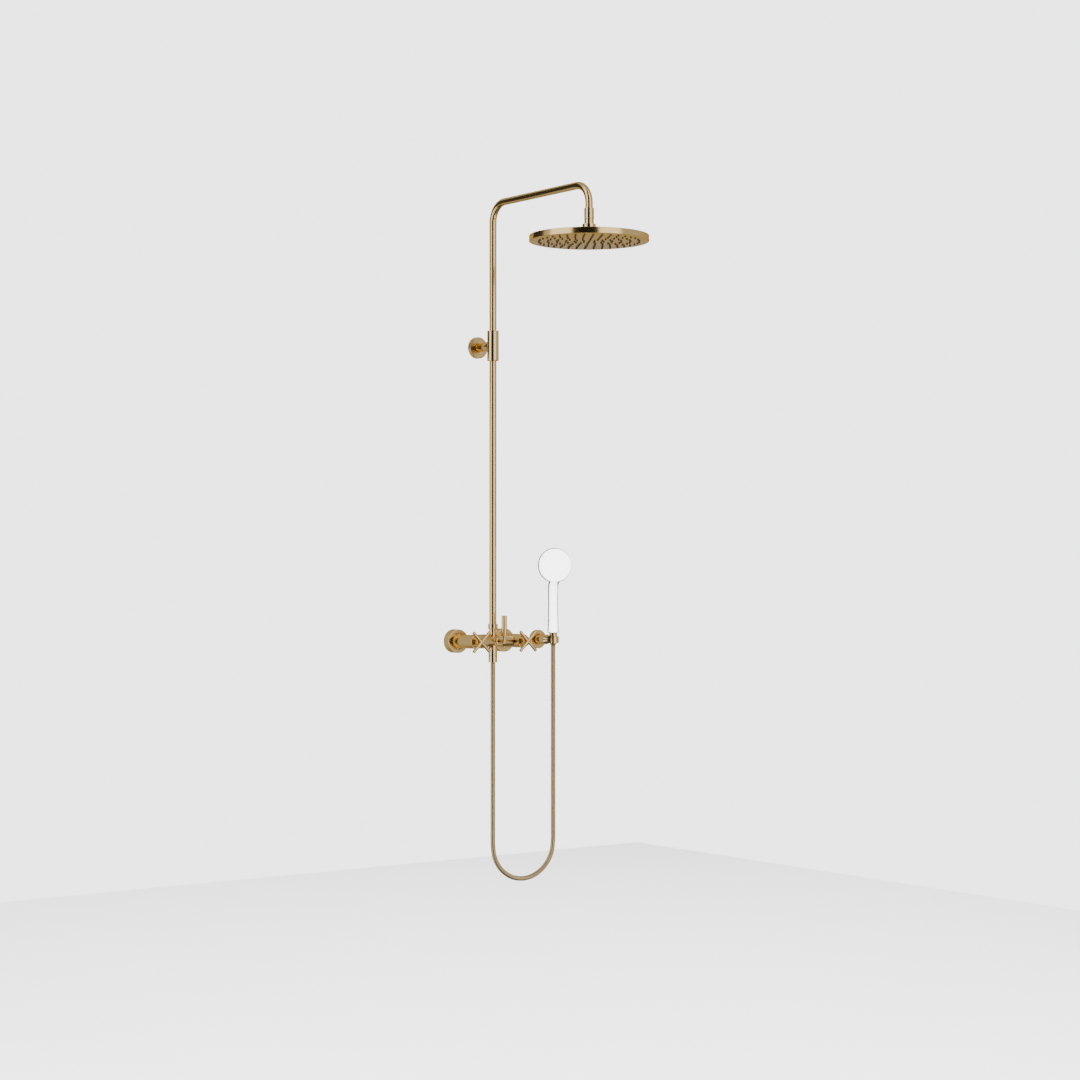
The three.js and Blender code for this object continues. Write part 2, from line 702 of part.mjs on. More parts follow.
function ballJoint() {
  const tubeRoom = TUBE_R + GAP;
  const waterway = TUBE_R - TUBE_WALL;
  const ledge = ARM_SLEEVE.low + ARM_SLEEVE.ledge;
  const sleeve = turned([
    [waterway, ARM_SLEEVE.low],
    [ARM_SLEEVE.radius, ARM_SLEEVE.low],
    [ARM_SLEEVE.radius, ARM_SLEEVE.high - EDGE],
    [ARM_SLEEVE.radius - EDGE, ARM_SLEEVE.high],
    [tubeRoom, ARM_SLEEVE.high],
    [tubeRoom, ledge],
    [waterway, ledge],
  ], 'up', 24);

  const cavity = BALL.radius + RUN;
  const socketTop = ARM_SLEEVE.low - GAP;
  const quarter = Math.PI / 2;
  const socket = carve([turned([
    ...arc(BALL.height, SOCKET_R, SOCKET_MOUTH, quarter, 4),
    [SOCKET_R, socketTop],
    [cavity, socketTop],
    ...arc(BALL.height, cavity, quarter, SOCKET_MOUTH, 4),
  ], 'up', 24)], [
    cylinder(LOCK_SCREW.radius + GAP, cavity - 2, SOCKET_R + 2, 'out', 10)
      .rotateZ(-LOCK_SCREW.turn).translate(0, 0, LOCK_SCREW.height),
  ]);
  const lockScrew = cylinder(LOCK_SCREW.radius, cavity + RUN, SOCKET_R - EDGE, 'out', 10)
    .rotateZ(-LOCK_SCREW.turn).translate(0, 0, LOCK_SCREW.height);
  const sealBore = Math.sqrt(BALL.radius ** 2 - (socketTop - WASHER - 2 * RUN - BALL.height) ** 2) + 2 * RUN;
  const seal = ring(cavity - GAP, sealBore, socketTop - WASHER - RUN, socketTop - RUN, 'up', 16);

  const neckTurn = Math.asin(BALL.neck / BALL.radius);
  const boreTurn = Math.asin(BALL.bore / BALL.radius);
  const footTop = BALL.height - SOCKET_R + RUN;
  const ball = turned([
    [BALL.bore, BALL.footLow],
    [BALL.foot, BALL.footLow],
    [BALL.foot, footTop],
    [BALL.neck, footTop + BALL.foot - BALL.neck],
    ...arc(BALL.height, BALL.radius, neckTurn, Math.PI - boreTurn, 7),
  ], 'up', 16);

  const dish = SOCKET_R + GAP;
  const topTurn = Math.acos((BALL.height - HEAD_FLANGE.high) / dish);
  const footTurn = Math.asin((BALL.foot + GAP) / dish);
  const flange = turned([
    [BALL.foot + GAP, HEAD_FLANGE.low],
    [HEAD_FLANGE.radius - EDGE, HEAD_FLANGE.low],
    [HEAD_FLANGE.radius, HEAD_FLANGE.low + EDGE],
    [HEAD_FLANGE.radius, HEAD_FLANGE.high - EDGE],
    [HEAD_FLANGE.radius - EDGE, HEAD_FLANGE.high],
    ...arc(BALL.height, dish, topTurn, footTurn, 4),
  ], 'up', 30);

  return [
    piece('arm_end_sleeve', 'brass', sleeve),
    piece('ball_socket', 'brass', socket),
    piece('ball_lock_screw', 'steel', lockScrew),
    piece('ball_seal', 'rubber', seal),
    piece('head_ball', 'brass', ball),
    piece('head_flange', 'brass', flange),
  ];
}

function rainHead() {
  const rimTop = HEAD_LOW + HEAD_RIM;
  const bossTop = HEAD_FLANGE.low - GAP;
  const bore = BALL.foot + GAP;
  const inner = HEAD_R - HEAD_WALL;
  const shell = turned([
    [inner, HEAD_LOW],
    [HEAD_R, HEAD_LOW],
    [HEAD_R, rimTop - EDGE],
    [HEAD_R - EDGE, rimTop],
    [HEAD_DOME.radius, HEAD_DOME.height],
    [HEAD_DOME.radius - EDGE, bossTop],
    [bore, bossTop],
    [bore, HEAD_DOME.height - HEAD_WALL],
    [HEAD_DOME.radius, HEAD_DOME.height - HEAD_WALL],
    [inner, rimTop - HEAD_WALL],
  ], 'up', 48);
  const spray = sprayPlate(inner - 2 * GAP, SPRAY_PLATE, HEAD_RINGS);
  const mat = nozzleMat(HEAD_MAT, SPRAY_PLATE, HEAD_RINGS);
  return [
    piece('head_shell', 'brass', shell),
    piece('spray_plate', 'brass', spray, [0, 0, HEAD_LOW]),
    piece('nozzle_mat', 'silicone', mat, [0, 0, HEAD_LOW + SPRAY_PLATE + GAP]),
  ];
}

// ---------------------------------------------------------------- hose, holder and hand shower

function hose() {
  const route = new THREE.CatmullRomCurve3(HOSE_ROUTE.map((point) => new THREE.Vector3(...point)));
  const section = new THREE.Shape();
  for (let i = 0; i < HOSE_SIDES; i += 1) {
    const angle = (2 * Math.PI * i) / HOSE_SIDES;
    const [x, y] = [HOSE_R * Math.cos(angle), HOSE_R * Math.sin(angle)];
    if (i === 0) section.moveTo(x, y);
    else section.lineTo(x, y);
  }
  section.closePath();
  return new THREE.ExtrudeGeometry(section, { steps: HOSE_STEPS, extrudePath: route });
}

function hoseOutlet() {
  const nippleRoom = OUTLET_NIPPLE.radius + GAP;
  const washerLow = OUTLET_END - GAP - WASHER;
  const nut = turned([
    [HOSE_BORE, HOSE_NUT_LOW],
    [OUTLET.radius - EDGE, HOSE_NUT_LOW],
    [OUTLET.radius, HOSE_NUT_LOW + EDGE],
    [OUTLET.radius, OUTLET.low - GAP],
    [nippleRoom, OUTLET.low - GAP],
    [nippleRoom, washerLow - GAP],
    [HOSE_BORE, washerLow - GAP],
  ], 'up', 24);
  return group(
    [0, -BODY_OUT, 0],
    piece('outlet_check_valve', 'blackPlastic', ring(
      OUTLET_NIPPLE.bore - GAP,
      CHECK_VALVE.bore,
      CHECK_VALVE.low,
      CHECK_VALVE.high,
      'up',
      16,
    )),
    piece('hose_washer', 'rubber', ring(OUTLET_NIPPLE.radius, HOSE_BORE, washerLow, washerLow + WASHER, 'up', 18)),
    piece('hose_nut', 'brass', nut),
  );
}

/** Part of a ring seen from above, from one angle to another, measured from straight out of the wall. */
function ringPart(outer, inner, from, to, low, high) {
  const angle = (turn) => -Math.PI / 2 - turn;
  const outline = new THREE.Shape();
  outline.absarc(0, 0, outer, angle(from), angle(to), true);
  outline.absarc(0, 0, inner, angle(to), angle(from), false);
  outline.closePath();
  return new THREE.ExtrudeGeometry(outline, { depth: high - low, bevelEnabled: false, curveSegments: 20 })
    .translate(0, 0, low);
}

function handsetHolder() {
  const stubEnd = CRADLE_OUT - CRADLE.liner;
  const neckBore = BASE_SPIGOT_R + GAP;
  const spigotEnd = HOLDER_NECK.taper - 4;
  const half = CRADLE.height / 2;
  const shellRoom = cylinder(CRADLE.radius + GAP, -half - 1, half + 1, 'up', 30).translate(0, -CRADLE_OUT, 0);
  const neck = carve([turned([
    [neckBore, BASE_DISC + GAP],
    [HOLDER_NECK.radius, BASE_DISC + GAP],
    [HOLDER_NECK.radius, HOLDER_NECK.taper],
    [HOLDER_NECK.stub, HOLDER_NECK.front],
    [HOLDER_NECK.stub, stubEnd],
    [0, stubEnd],
    [0, spigotEnd + GAP],
    [neckBore, spigotEnd + GAP],
  ].reverse(), 'out', 24)], [shellRoom]);

  // The slot leaves the two arms' ends at these turns; past the left arm the liner is as thick as the cradle.
  const slotHalf = Math.asin(CRADLE.slot / 2 / CRADLE.radius);
  const leftEnd = CRADLE_TURN + slotHalf;
  const rightEnd = CRADLE_TURN - slotHalf + 2 * Math.PI;
  const shellStart = Math.PI;
  const shell = ringPart(CRADLE.radius, CRADLE.liner + GAP, shellStart, rightEnd, -half, half);
  const bore = CONE_NUT.radius + GAP;
  const liner = carve([
    ringPart(CRADLE.liner, bore, leftEnd, rightEnd, -half, half),
    ringPart(CRADLE.radius, CRADLE.liner - 1, leftEnd, shellStart - 2 * GAP / CRADLE.liner, -half, half),
  ]);
  return group(
    [HOLDER_SIDE, 0, 0],
    piece('holder_base', 'steel', wallBase(HOLDER_ROSETTE.radius - 2 * HOLDER_ROSETTE.wall, spigotEnd)),
    piece('holder_rosette', 'brass', rosetteShape(HOLDER_ROSETTE, HOLDER_NECK.radius + GAP)),
    piece('holder_neck', 'brass', neck),
    piece('cradle_shell', 'brass', shell, [0, -CRADLE_OUT, 0]),
    piece('cradle_liner', 'blackPlastic', liner, [0, -CRADLE_OUT, 0]),
  );
}

function handset() {
  const seat = CRADLE.height / 2 + GAP;
  const coneNut = turned([
    [HOSE_BORE, CONE_NUT.low],
    [CONE_NUT.foot, CONE_NUT.low],
    [CONE_NUT.radius, CONE_NUT.taper],
    [CONE_NUT.radius, seat],
    [CONE_NUT.rim, seat],
    [CONE_NUT.rim, CONE_NUT.high],
    [HOSE_BORE, CONE_NUT.high],
  ], 'up', 24);
  const { radius, forward, half, recess } = HANDSET_HEAD;
  const onHead = (geometry) => geometry.translate(0, -forward, HANDSET_HEAD.height);
  const head = onHead(turned([
    [0, -half],
    [HANDSET_HEAD.back, -half],
    [radius - 2, 4 - half],
    [radius, 8 - half],
    [radius, half - 2],
    [radius - 2, half],
    [0, half],
  ], 'out', 32));
  const matBack = half - HANDSET_PLATE - GAP - HANDSET_MAT.thick;
  const chamber = onHead(cylinder(recess, matBack - 3, half + 1, 'out', 28));
  const handle = turned([
    [0, 0],
    [HANDLE.foot - EDGE, 0],
    [HANDLE.foot, EDGE],
    [HANDLE.waist, HANDLE.length / 2],
    [HANDLE.neck, HANDLE.length - 4],
    [HANDLE.neck - 4, HANDLE.length],
    [0, HANDLE.length],
  ], 'up', 24);
  const feedTop = HANDSET_HEAD.height - recess + 3;
  const feedDepth = forward + 4;
  const feed = new THREE.BoxGeometry(HANDLE.bore, feedDepth, 4);
  const body = carve([handle, head], [
    chamber,
    cylinder(HANDLE.bore, -1, feedTop, 'up', 16),
    feed.translate(0, -feedDepth / 2, feedTop - 2),
  ]);
  const facing = (geometry) => geometry.rotateX(Math.PI / 2);
  const facePlate = facing(sprayPlate(recess - GAP, HANDSET_PLATE, HANDSET_RINGS).rotateX(Math.PI)
    .translate(0, 0, HANDSET_PLATE));
  const mat = facing(nozzleMat(HANDSET_MAT, HANDSET_PLATE, HANDSET_RINGS).rotateX(Math.PI));
  const shower = group(
    [0, 0, CONE_NUT.high + GAP],
    piece('handset_body', 'whitePlastic', body),
    piece('handset_face', 'whitePlastic', facePlate, [0, HANDSET_PLATE - forward - half, HANDSET_HEAD.height]),
    piece('handset_mat', 'paleSilicone', mat, [0, -forward - matBack, HANDSET_HEAD.height]),
  );
  shower.rotation.z = -HANDSET_TURN;
  return group(
    [HOLDER_SIDE, -CRADLE_OUT, 0],
    piece('hose_cone_nut', 'brass', coneNut),
    shower,
  );
}

// ---------------------------------------------------------------- the column

const column = new THREE.Group();
column.add(
  inletValve('hot', -1),
  inletValve('cold', 1),
  mixerBody(),
  group(
    [0, -BODY_OUT, 0],
    piece('riser_washer', 'rubber', ring(
      RISER_NIPPLE.radius,
      RISER_NIPPLE.bore,
      NIPPLE_TOP + GAP,
      NIPPLE_TOP + GAP + WASHER,
      'up',
      16,
    )),
    piece('riser_nut', 'brass', riserNut()),
    piece('riser_tube', 'brass', ring(
      TUBE_R,
      TUBE_R - TUBE_WALL,
      RISER_LOW,
      BRACKET_HEIGHT - GAP / 2,
      'up',
      24,
    )),
  ),
  upperBracket(),
  piece('arm_tube', 'brass', armTube()),
  group([0, -HEAD_OUT, 0], ...ballJoint(), ...rainHead()),
  hoseOutlet(),
  piece('shower_hose', 'brass', hose()),
  handsetHolder(),
  handset(),
);

export default column;
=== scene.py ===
"""The looks of a brushed-brass rainfall shower column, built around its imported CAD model.

Sizes are written in millimetres and turned into metres where a mesh is made. The frame is the model's own:
+Z is up, +Y goes into the wall, +X is to the right, and the origin is on the wall's face behind the riser at
the height of the mixer's axis. "Out" is the distance from the wall, towards -Y.
"""

import json
import logging
import math
from dataclasses import dataclass, field
from enum import Enum
from typing import Callable, Iterable, Sequence

import bpy
from mathutils import Matrix, Vector


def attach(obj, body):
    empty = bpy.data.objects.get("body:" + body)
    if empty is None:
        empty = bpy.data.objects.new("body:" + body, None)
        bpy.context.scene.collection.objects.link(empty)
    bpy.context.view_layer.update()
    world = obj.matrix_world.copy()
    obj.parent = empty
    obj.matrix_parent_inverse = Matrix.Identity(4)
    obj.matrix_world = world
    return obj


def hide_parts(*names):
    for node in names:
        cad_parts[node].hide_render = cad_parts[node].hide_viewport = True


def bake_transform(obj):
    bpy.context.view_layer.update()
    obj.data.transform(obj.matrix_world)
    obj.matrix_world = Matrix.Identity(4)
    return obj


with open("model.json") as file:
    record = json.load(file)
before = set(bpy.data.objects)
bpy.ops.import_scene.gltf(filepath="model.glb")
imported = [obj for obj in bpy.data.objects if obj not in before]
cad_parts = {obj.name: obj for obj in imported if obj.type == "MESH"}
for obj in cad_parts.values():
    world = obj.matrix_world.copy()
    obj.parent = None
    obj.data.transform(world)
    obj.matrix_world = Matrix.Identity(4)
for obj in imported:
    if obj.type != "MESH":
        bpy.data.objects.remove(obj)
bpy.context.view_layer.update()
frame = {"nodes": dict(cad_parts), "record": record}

Point = tuple[float, float, float]
Pair = tuple[float, float]

log = logging.getLogger("shower")

MM = 0.001
SIDES = 96

# ---------------------------------------------------------------- sizes, in millimetres

GAP = 0.3
RUN = 0.4

BODY_OUT = 75.0
HALF_SPACING = 75.0
ARM_HEIGHT = 1152.5
ARM_REACH = 411.6
HEAD_OUT = BODY_OUT + ARM_REACH
ARM_BEND_R = 50.0
BRACKET_HEIGHT = 778.2
HOLDER_SIDE = 198.7
CRADLE_OUT = 75.0
TUBE_R = 9.5
TUBE_WALL = 1.5
BODY_R = 15.2
BARREL_R = 18.25
BARREL_FRONT = 109.0
DIVERTER_SIDE = 8.0
HEAD_LOW = 1006.4
BALL_HEIGHT = 1052.0

HEAD_RINGS: tuple[tuple[float, int], ...] = (
    (15.0, 6),
    (36.4, 12),
    (58.3, 18),
    (80.7, 24),
    (103.4, 30),
    (125.7, 36),
)
HANDSET_RINGS: tuple[tuple[float, int], ...] = ((12.0, 6), (26.0, 12))
RING_TURN = math.radians(3.1)

# The hose's centreline from the mixer's outlet, down, round the loop and up to the hand shower, in metres.
HOSE_ROUTE: tuple[Point, ...] = (
    (0.0, -0.075, -0.0558),
    (0.0, -0.075, -0.09),
    (0.0, -0.075, -0.15),
    (0.0, -0.075, -0.215),
    (0.0, -0.075, -0.285),
    (0.0, -0.075, -0.355),
    (0.0, -0.075, -0.425),
    (0.0, -0.075, -0.49),
    (0.0006, -0.075, -0.54),
    (0.0081, -0.075, -0.575),
    (0.0293, -0.075, -0.6045),
    (0.0614, -0.075, -0.6246),
    (0.0993, -0.075, -0.6317),
    (0.1373, -0.075, -0.6246),
    (0.1694, -0.075, -0.6045),
    (0.1906, -0.075, -0.575),
    (0.1981, -0.075, -0.54),
    (0.1987, -0.075, -0.49),
    (0.1987, -0.075, -0.425),
    (0.1987, -0.075, -0.355),
    (0.1987, -0.075, -0.285),
    (0.1987, -0.075, -0.215),
    (0.1987, -0.075, -0.15),
    (0.1987, -0.075, -0.09),
    (0.1987, -0.075, -0.045),
    (0.1987, -0.075, -0.0148),
)


class Axis(Enum):
    """The direction a turned piece's outline runs along, as (how along, radial u, radial v)."""

    UP = ((0, 0, 1), (1, 0, 0), (0, 1, 0))
    OUT = ((0, -1, 0), (1, 0, 0), (0, 0, 1))
    RIGHT = ((1, 0, 0), (0, 1, 0), (0, 0, 1))


class Slot(Enum):
    """The record's material slots."""

    BRASS = "brushed_brass"
    RUBBER = "seal_rubber"
    SILICONE = "nozzle_silicone"
    PALE = "pale_silicone"
    CERAMIC = "valve_ceramic"
    BLACK = "black_plastic"
    WHITE = "white_plastic"
    STEEL = "screw_steel"


# ---------------------------------------------------------------- shader maths


class Value:
    """A shader socket that can be used in ordinary arithmetic."""

    def __init__(self, graph: "Graph", socket: bpy.types.NodeSocket) -> None:
        """Keep the graph and the socket."""
        self.graph = graph
        self.socket = socket

    def _math(self, operation: str, *others: "Value | float", swap: bool = False) -> "Value":
        """Add a Math node.

        Args:
            operation: The node's operation.
            others: The operands after this value.
            swap: Whether this value is the last operand.

        Returns:
            The node's result.
        """
        operands: list[Value | float] = [self, *others]
        if swap:
            operands.reverse()
        node = self.graph.node("ShaderNodeMath", dict(enumerate(operands)), operation=operation)
        return Value(self.graph, node.outputs[0])

    def __add__(self, other: "Value | float") -> "Value":
        """This value plus another."""
        return self._math("ADD", other)

    __radd__ = __add__

    def __sub__(self, other: "Value | float") -> "Value":
        """This value less another."""
        return self._math("SUBTRACT", other)

    def __rsub__(self, other: "Value | float") -> "Value":
        """Another value less this one."""
        return self._math("SUBTRACT", other, swap=True)

    def __mul__(self, other: "Value | float") -> "Value":
        """This value times another."""
        return self._math("MULTIPLY", other)

    __rmul__ = __mul__

    def angle_to(self, other: "Value") -> "Value":
        """The angle of a point whose second coordinate this is.

        Args:
            other: The point's first coordinate.

        Returns:
            The angle in radians.
        """
        return self._math("ARCTAN2", other)

    def arcsine(self) -> "Value":
        """The angle in radians whose sine this is."""
        return self._math("ARCSINE")

    def ramp(self, low: float, high: float, start: float = 0.0, end: float = 1.0) -> "Value":
        """Ease from one output to another as this value goes from low to high.

        Args:
            low: The value at which the output starts to change.
            high: The value at which it stops changing.
            start: The output at and below low.
            end: The output at and above high.

        Returns:
            The eased value.
        """
        node = self.graph.node(
            "ShaderNodeMapRange",
            {"Value": self, "From Min": low, "From Max": high, "To Min": start, "To Max": end},
            interpolation_type="SMOOTHSTEP",
        )
        return Value(self.graph, node.outputs["Result"])

    def window(self, low: float, high: float, soft: float) -> "Value":
        """One between two values and nothing outside them.

        Args:
            low: The window's lower edge.
            high: The window's upper edge.
            soft: The width over which each edge fades.

        Returns:
            A value from 0 to 1.
        """
        return self.ramp(low - soft, low + soft) * self.ramp(high - soft, high + soft, 1.0, 0.0)


class Graph:
    """A node tree that is filled in by name."""

    def __init__(self, tree: bpy.types.NodeTree) -> None:
        """Start the tree with no nodes."""
        self.tree = tree
        tree.nodes.clear()

    def node(self, kind: str, inputs: dict | None = None, **settings: object) -> bpy.types.Node:
        """Make a node.

        Args:
            kind: The node's type.
            inputs: What goes into each of its sockets, by name or number: a Value, or a plain value.
            settings: The node's own settings.

        Returns:
            The node.
        """
        made = self.tree.nodes.new(kind)
        for name, setting in settings.items():
            setattr(made, name, setting)
        for name, source in (inputs or {}).items():
            socket = made.inputs[name]
            if isinstance(source, Value):
                self.tree.links.new(source.socket, socket)
            else:
                socket.default_value = source
        return made

    def value(self, kind: str, output: str | int, inputs: dict | None = None, **settings: object) -> Value:
        """Make a node and return one of its outputs."""
        return Value(self, self.node(kind, inputs, **settings).outputs[output])

    def place(self, scale: Point) -> Value:
        """The shaded point's place in the model's frame, stretched by a scale.

        Args:
            scale: How many texture units there are to a metre along X, Y and Z.

        Returns:
            The stretched place.
        """
        at = self.value("ShaderNodeTexCoord", "Object")
        return self.value("ShaderNodeMapping", "Vector", {"Vector": at, "Scale": scale})

    def noise(self, scale: Point, detail: float = 3.0) -> Value:
        """Cloudy noise from 0 to 1.

        Args:
            scale: How many clouds there are to a metre along X, Y and Z.
            detail: How much finer structure lies on them.

        Returns:
            The noise.
        """
        inputs = {"Vector": self.place(scale), "Scale": 1.0, "Detail": detail}
        return self.value("ShaderNodeTexNoise", 0, inputs)

    def blend(self, factor: Value, low: Sequence[float], high: Sequence[float]) -> Value:
        """Mix two colours by a factor.

        Args:
            factor: 0 for the first colour, 1 for the second.
            low: The first colour, as linear red, green and blue.
            high: The second colour.

        Returns:
            The mixed colour.
        """
        inputs = {"Factor": factor, 6: (*low, 1.0), 7: (*high, 1.0)}
        return self.value("ShaderNodeMix", 2, inputs, data_type="RGBA")

    def bump(self, height: Value, depth: float, strength: float) -> Value:
        """A surface normal that follows a height.

        Args:
            height: The height, from 0 to 1.
            depth: The real height of 1, in metres.
            strength: How much of it shows.

        Returns:
            The normal.
        """
        inputs = {"Height": height, "Distance": depth, "Strength": strength}
        return self.value("ShaderNodeBump", "Normal", inputs)


# ---------------------------------------------------------------- finishes


@dataclass(frozen=True)
class Finish:
    """A surface finish made of shader nodes.

    Attributes:
        name: The material's name.
        slot: The record's slot that it stands for.
    """

    name: str
    slot: Slot

    def material(self) -> bpy.types.Material:
        """Make the material once and return it each time."""
        found = bpy.data.materials.get(self.name)
        if found is not None:
            return found
        made = bpy.data.materials.new(self.name)
        made.use_nodes = True
        graph = Graph(made.node_tree)
        surface = graph.node("ShaderNodeBsdfPrincipled", self.sockets(graph))
        graph.node("ShaderNodeOutputMaterial", {"Surface": Value(graph, surface.outputs[0])})
        return made

    def sockets(self, graph: Graph) -> dict[str, object]:
        """What goes into the surface shader's sockets."""
        raise NotImplementedError


@dataclass(frozen=True)
class BrushedBrass(Finish):
    """Brushed and lacquered brass.

    Attributes:
        grain: Scratches to a metre along X, Y and Z: few along the grain and many across it.
        rough: Mean roughness.
        edge: The colour it mirrors at a glancing angle.
    """

    slot: Slot = Slot.BRASS
    grain: Point = (1500.0, 1500.0, 30.0)
    rough: float = 0.15
    edge: Point = (0.8, 0.62, 0.34)

    def sockets(self, graph: Graph) -> dict[str, object]:
        """Scratches along the grain, over cloudy tones.

        Args:
            graph: The material's graph.

        Returns:
            A value or a link for each socket.
        """
        scratches = graph.noise(self.grain, 4.0)
        clouds = graph.noise((22.0, 22.0, 22.0), 2.0)
        tone = scratches * 0.35 + clouds * 0.65
        return {
            "Base Color": graph.blend(tone, (0.63, 0.43, 0.175), (0.69, 0.485, 0.215)),
            "Metallic": 1.0,
            "Roughness": scratches.ramp(0.25, 0.75, self.rough - 0.03, self.rough + 0.04),
            "Normal": graph.bump(scratches, 0.000004, 0.3),
            "Specular Tint": (*self.edge, 1.0),
        }


@dataclass(frozen=True)
class HoseBrass(Finish):
    """The hose's wound brass strip, with shade painted darker into the grooves between its turns."""

    slot: Slot = Slot.BRASS

    def sockets(self, graph: Graph) -> dict[str, object]:
        """Grit, with shade painted darker into the grooves.

        Args:
            graph: The material's graph.

        Returns:
            A value or a link for each socket.
        """
        grit = graph.noise((900.0, 900.0, 900.0), 3.0)
        # Pointiness finds the grooves between the turns. The darker colour there is painted shade, not a
        # tone of the brass.
        painted_groove_shade = graph.value("ShaderNodeNewGeometry", "Pointiness").ramp(0.46, 0.54)
        return {
            "Base Color": graph.blend(painted_groove_shade, (0.34, 0.235, 0.115), (0.7, 0.52, 0.28)),
            "Metallic": 1.0,
            "Roughness": grit.ramp(0.3, 0.7, 0.24, 0.36),
            "Normal": graph.bump(grit, 0.000008, 0.2),
        }


@dataclass(frozen=True)
class Plastic(Finish):
    """Moulded plastic or rubber with a faint texture.

    Attributes:
        dark: The darker of its two tones.
        light: The lighter of its two tones.
        rough: Mean roughness.
        grains: Grains of texture to a metre.
        gloss: The refractive index of its skin.
    """

    dark: Point = (0.5, 0.5, 0.5)
    light: Point = (0.5, 0.5, 0.5)
    rough: float = 0.5
    grains: float = 900.0
    gloss: float = 1.5

    def sockets(self, graph: Graph) -> dict[str, object]:
        """A faint moulded texture, over cloudy tones.

        Args:
            graph: The material's graph.

        Returns:
            A value or a link for each socket.
        """
        texture = graph.noise((self.grains,) * 3, 3.0)
        clouds = graph.noise((40.0, 40.0, 40.0), 2.0)
        colour = graph.blend(clouds, self.dark, self.light)
        return {
            "Base Color": colour,
            "Roughness": texture.ramp(0.3, 0.7, self.rough - 0.05, self.rough + 0.05),
            "Normal": graph.bump(texture, 0.00003, 0.15),
            "IOR": self.gloss,
        }


@dataclass(frozen=True)
class PlainSteel(Finish):
    """Plain steel with fine marks all ways."""

    slot: Slot = Slot.STEEL

    def sockets(self, graph: Graph) -> dict[str, object]:
        """Fine marks all ways."""
        marks = graph.noise((1400.0, 1400.0, 1400.0), 4.0)
        return {
            "Base Color": graph.blend(marks, (0.42, 0.42, 0.41), (0.55, 0.55, 0.54)),
            "Metallic": 1.0,
            "Roughness": marks.ramp(0.3, 0.7, 0.3, 0.42),
            "Normal": graph.bump(marks, 0.00004, 0.2),
        }


@dataclass(frozen=True)
class PaleFloor(Finish):
    """A plain, pale, matt floor."""

    slot: Slot = Slot.WHITE

    def sockets(self, graph: Graph) -> dict[str, object]:
        """Faint clouds."""
        clouds = graph.noise((3.0, 3.0, 3.0), 2.0)
        return {
            "Base Color": graph.blend(clouds, (0.9, 0.9, 0.9), (0.93, 0.93, 0.93)),
            "Roughness": clouds.ramp(0.3, 0.7, 0.85, 0.95),
        }


BRASS_UP = BrushedBrass("brass_grain_up")
BRASS_OUT = BrushedBrass("brass_grain_out", grain=(1500.0, 30.0, 1500.0))
BRASS_RIGHT = BrushedBrass("brass_grain_right", grain=(30.0, 1500.0, 1500.0))
BRASS_FACE = BrushedBrass("brass_face", grain=(260.0, 260.0, 260.0), rough=0.24)
HOSE_BRASS = HoseBrass("hose_brass")
WHITE = Plastic("moulded_white", Slot.WHITE, (0.9, 0.9, 0.9), (0.94, 0.94, 0.94), 0.3, gloss=2.2)
BLACK = Plastic("moulded_black", Slot.BLACK, (0.003, 0.003, 0.0035), (0.005, 0.005, 0.006), 0.42)
RUBBER = Plastic("black_seal", Slot.RUBBER, (0.003, 0.003, 0.0035), (0.005, 0.005, 0.006), 0.8)
SILICONE = Plastic("dark_nozzles", Slot.SILICONE, (0.006, 0.006, 0.0065), (0.01, 0.01, 0.011), 0.55)
PALE_SILICONE = Plastic("pale_nozzles", Slot.PALE, (0.86, 0.86, 0.86), (0.9, 0.9, 0.9), 0.55)
CERAMIC = Plastic("fired_ceramic", Slot.CERAMIC, (0.78, 0.77, 0.73), (0.84, 0.83, 0.8), 0.2)
STEEL = PlainSteel("plain_steel")

PLAIN_FINISH: dict[str, Finish] = {
    Slot.BRASS.value: BRASS_OUT,
    Slot.RUBBER.value: RUBBER,
    Slot.SILICONE.value: SILICONE,
    Slot.PALE.value: PALE_SILICONE,
    Slot.CERAMIC.value: CERAMIC,
    Slot.BLACK.value: BLACK,
    Slot.WHITE.value: WHITE,
    Slot.STEEL.value: STEEL,
}


# ---------------------------------------------------------------- shaping


def corner(before: Pair, at: Pair, after: Pair, radius: float, steps: int = 3) -> list[Pair]:
    """Round one corner of an outline.

    Args:
        before: The outline point before the corner.
        at: The corner.
        after: The outline point after the corner.
        radius: How far back from the corner the rounding starts.
        steps: How many short edges replace the corner.

    Returns:
        The points that replace the corner.
    """
    here = Vector(at)
    back, ahead = Vector(before) - here, Vector(after) - here
    reach = min(radius, back.length * 0.4, ahead.length * 0.4)
    if reach < 1e-3 or back.angle(ahead, math.pi) > math.radians(160):
        return [at]
    start, end = here + back.normalized() * reach, here + ahead.normalized() * reach
    points = []
    for step in range(steps + 1):
        share = step / steps
        mixed = start * (1 - share) ** 2 + here * (2 * share * (1 - share)) + end * share**2
        points.append((mixed.x, mixed.y))
    return points


def rounded(outline: Sequence[Pair], radius: float) -> list[Pair]:
    """Round the corners of a turned piece's outline.

    Args:
        outline: Points of (radius, distance along the axis). It ends on the axis or joins up with its start.
        radius: The size of the rounding.

    Returns:
        The rounded outline.
    """
    open_ended = outline[0][0] == 0 and outline[-1][0] == 0
    points: list[Pair] = []
    count = len(outline)
    for i, at in enumerate(outline):
        if open_ended and i in (0, count - 1):
            points.append(at)
        else:
            points += corner(outline[i - 1], at, outline[(i + 1) % count], radius)
    return points


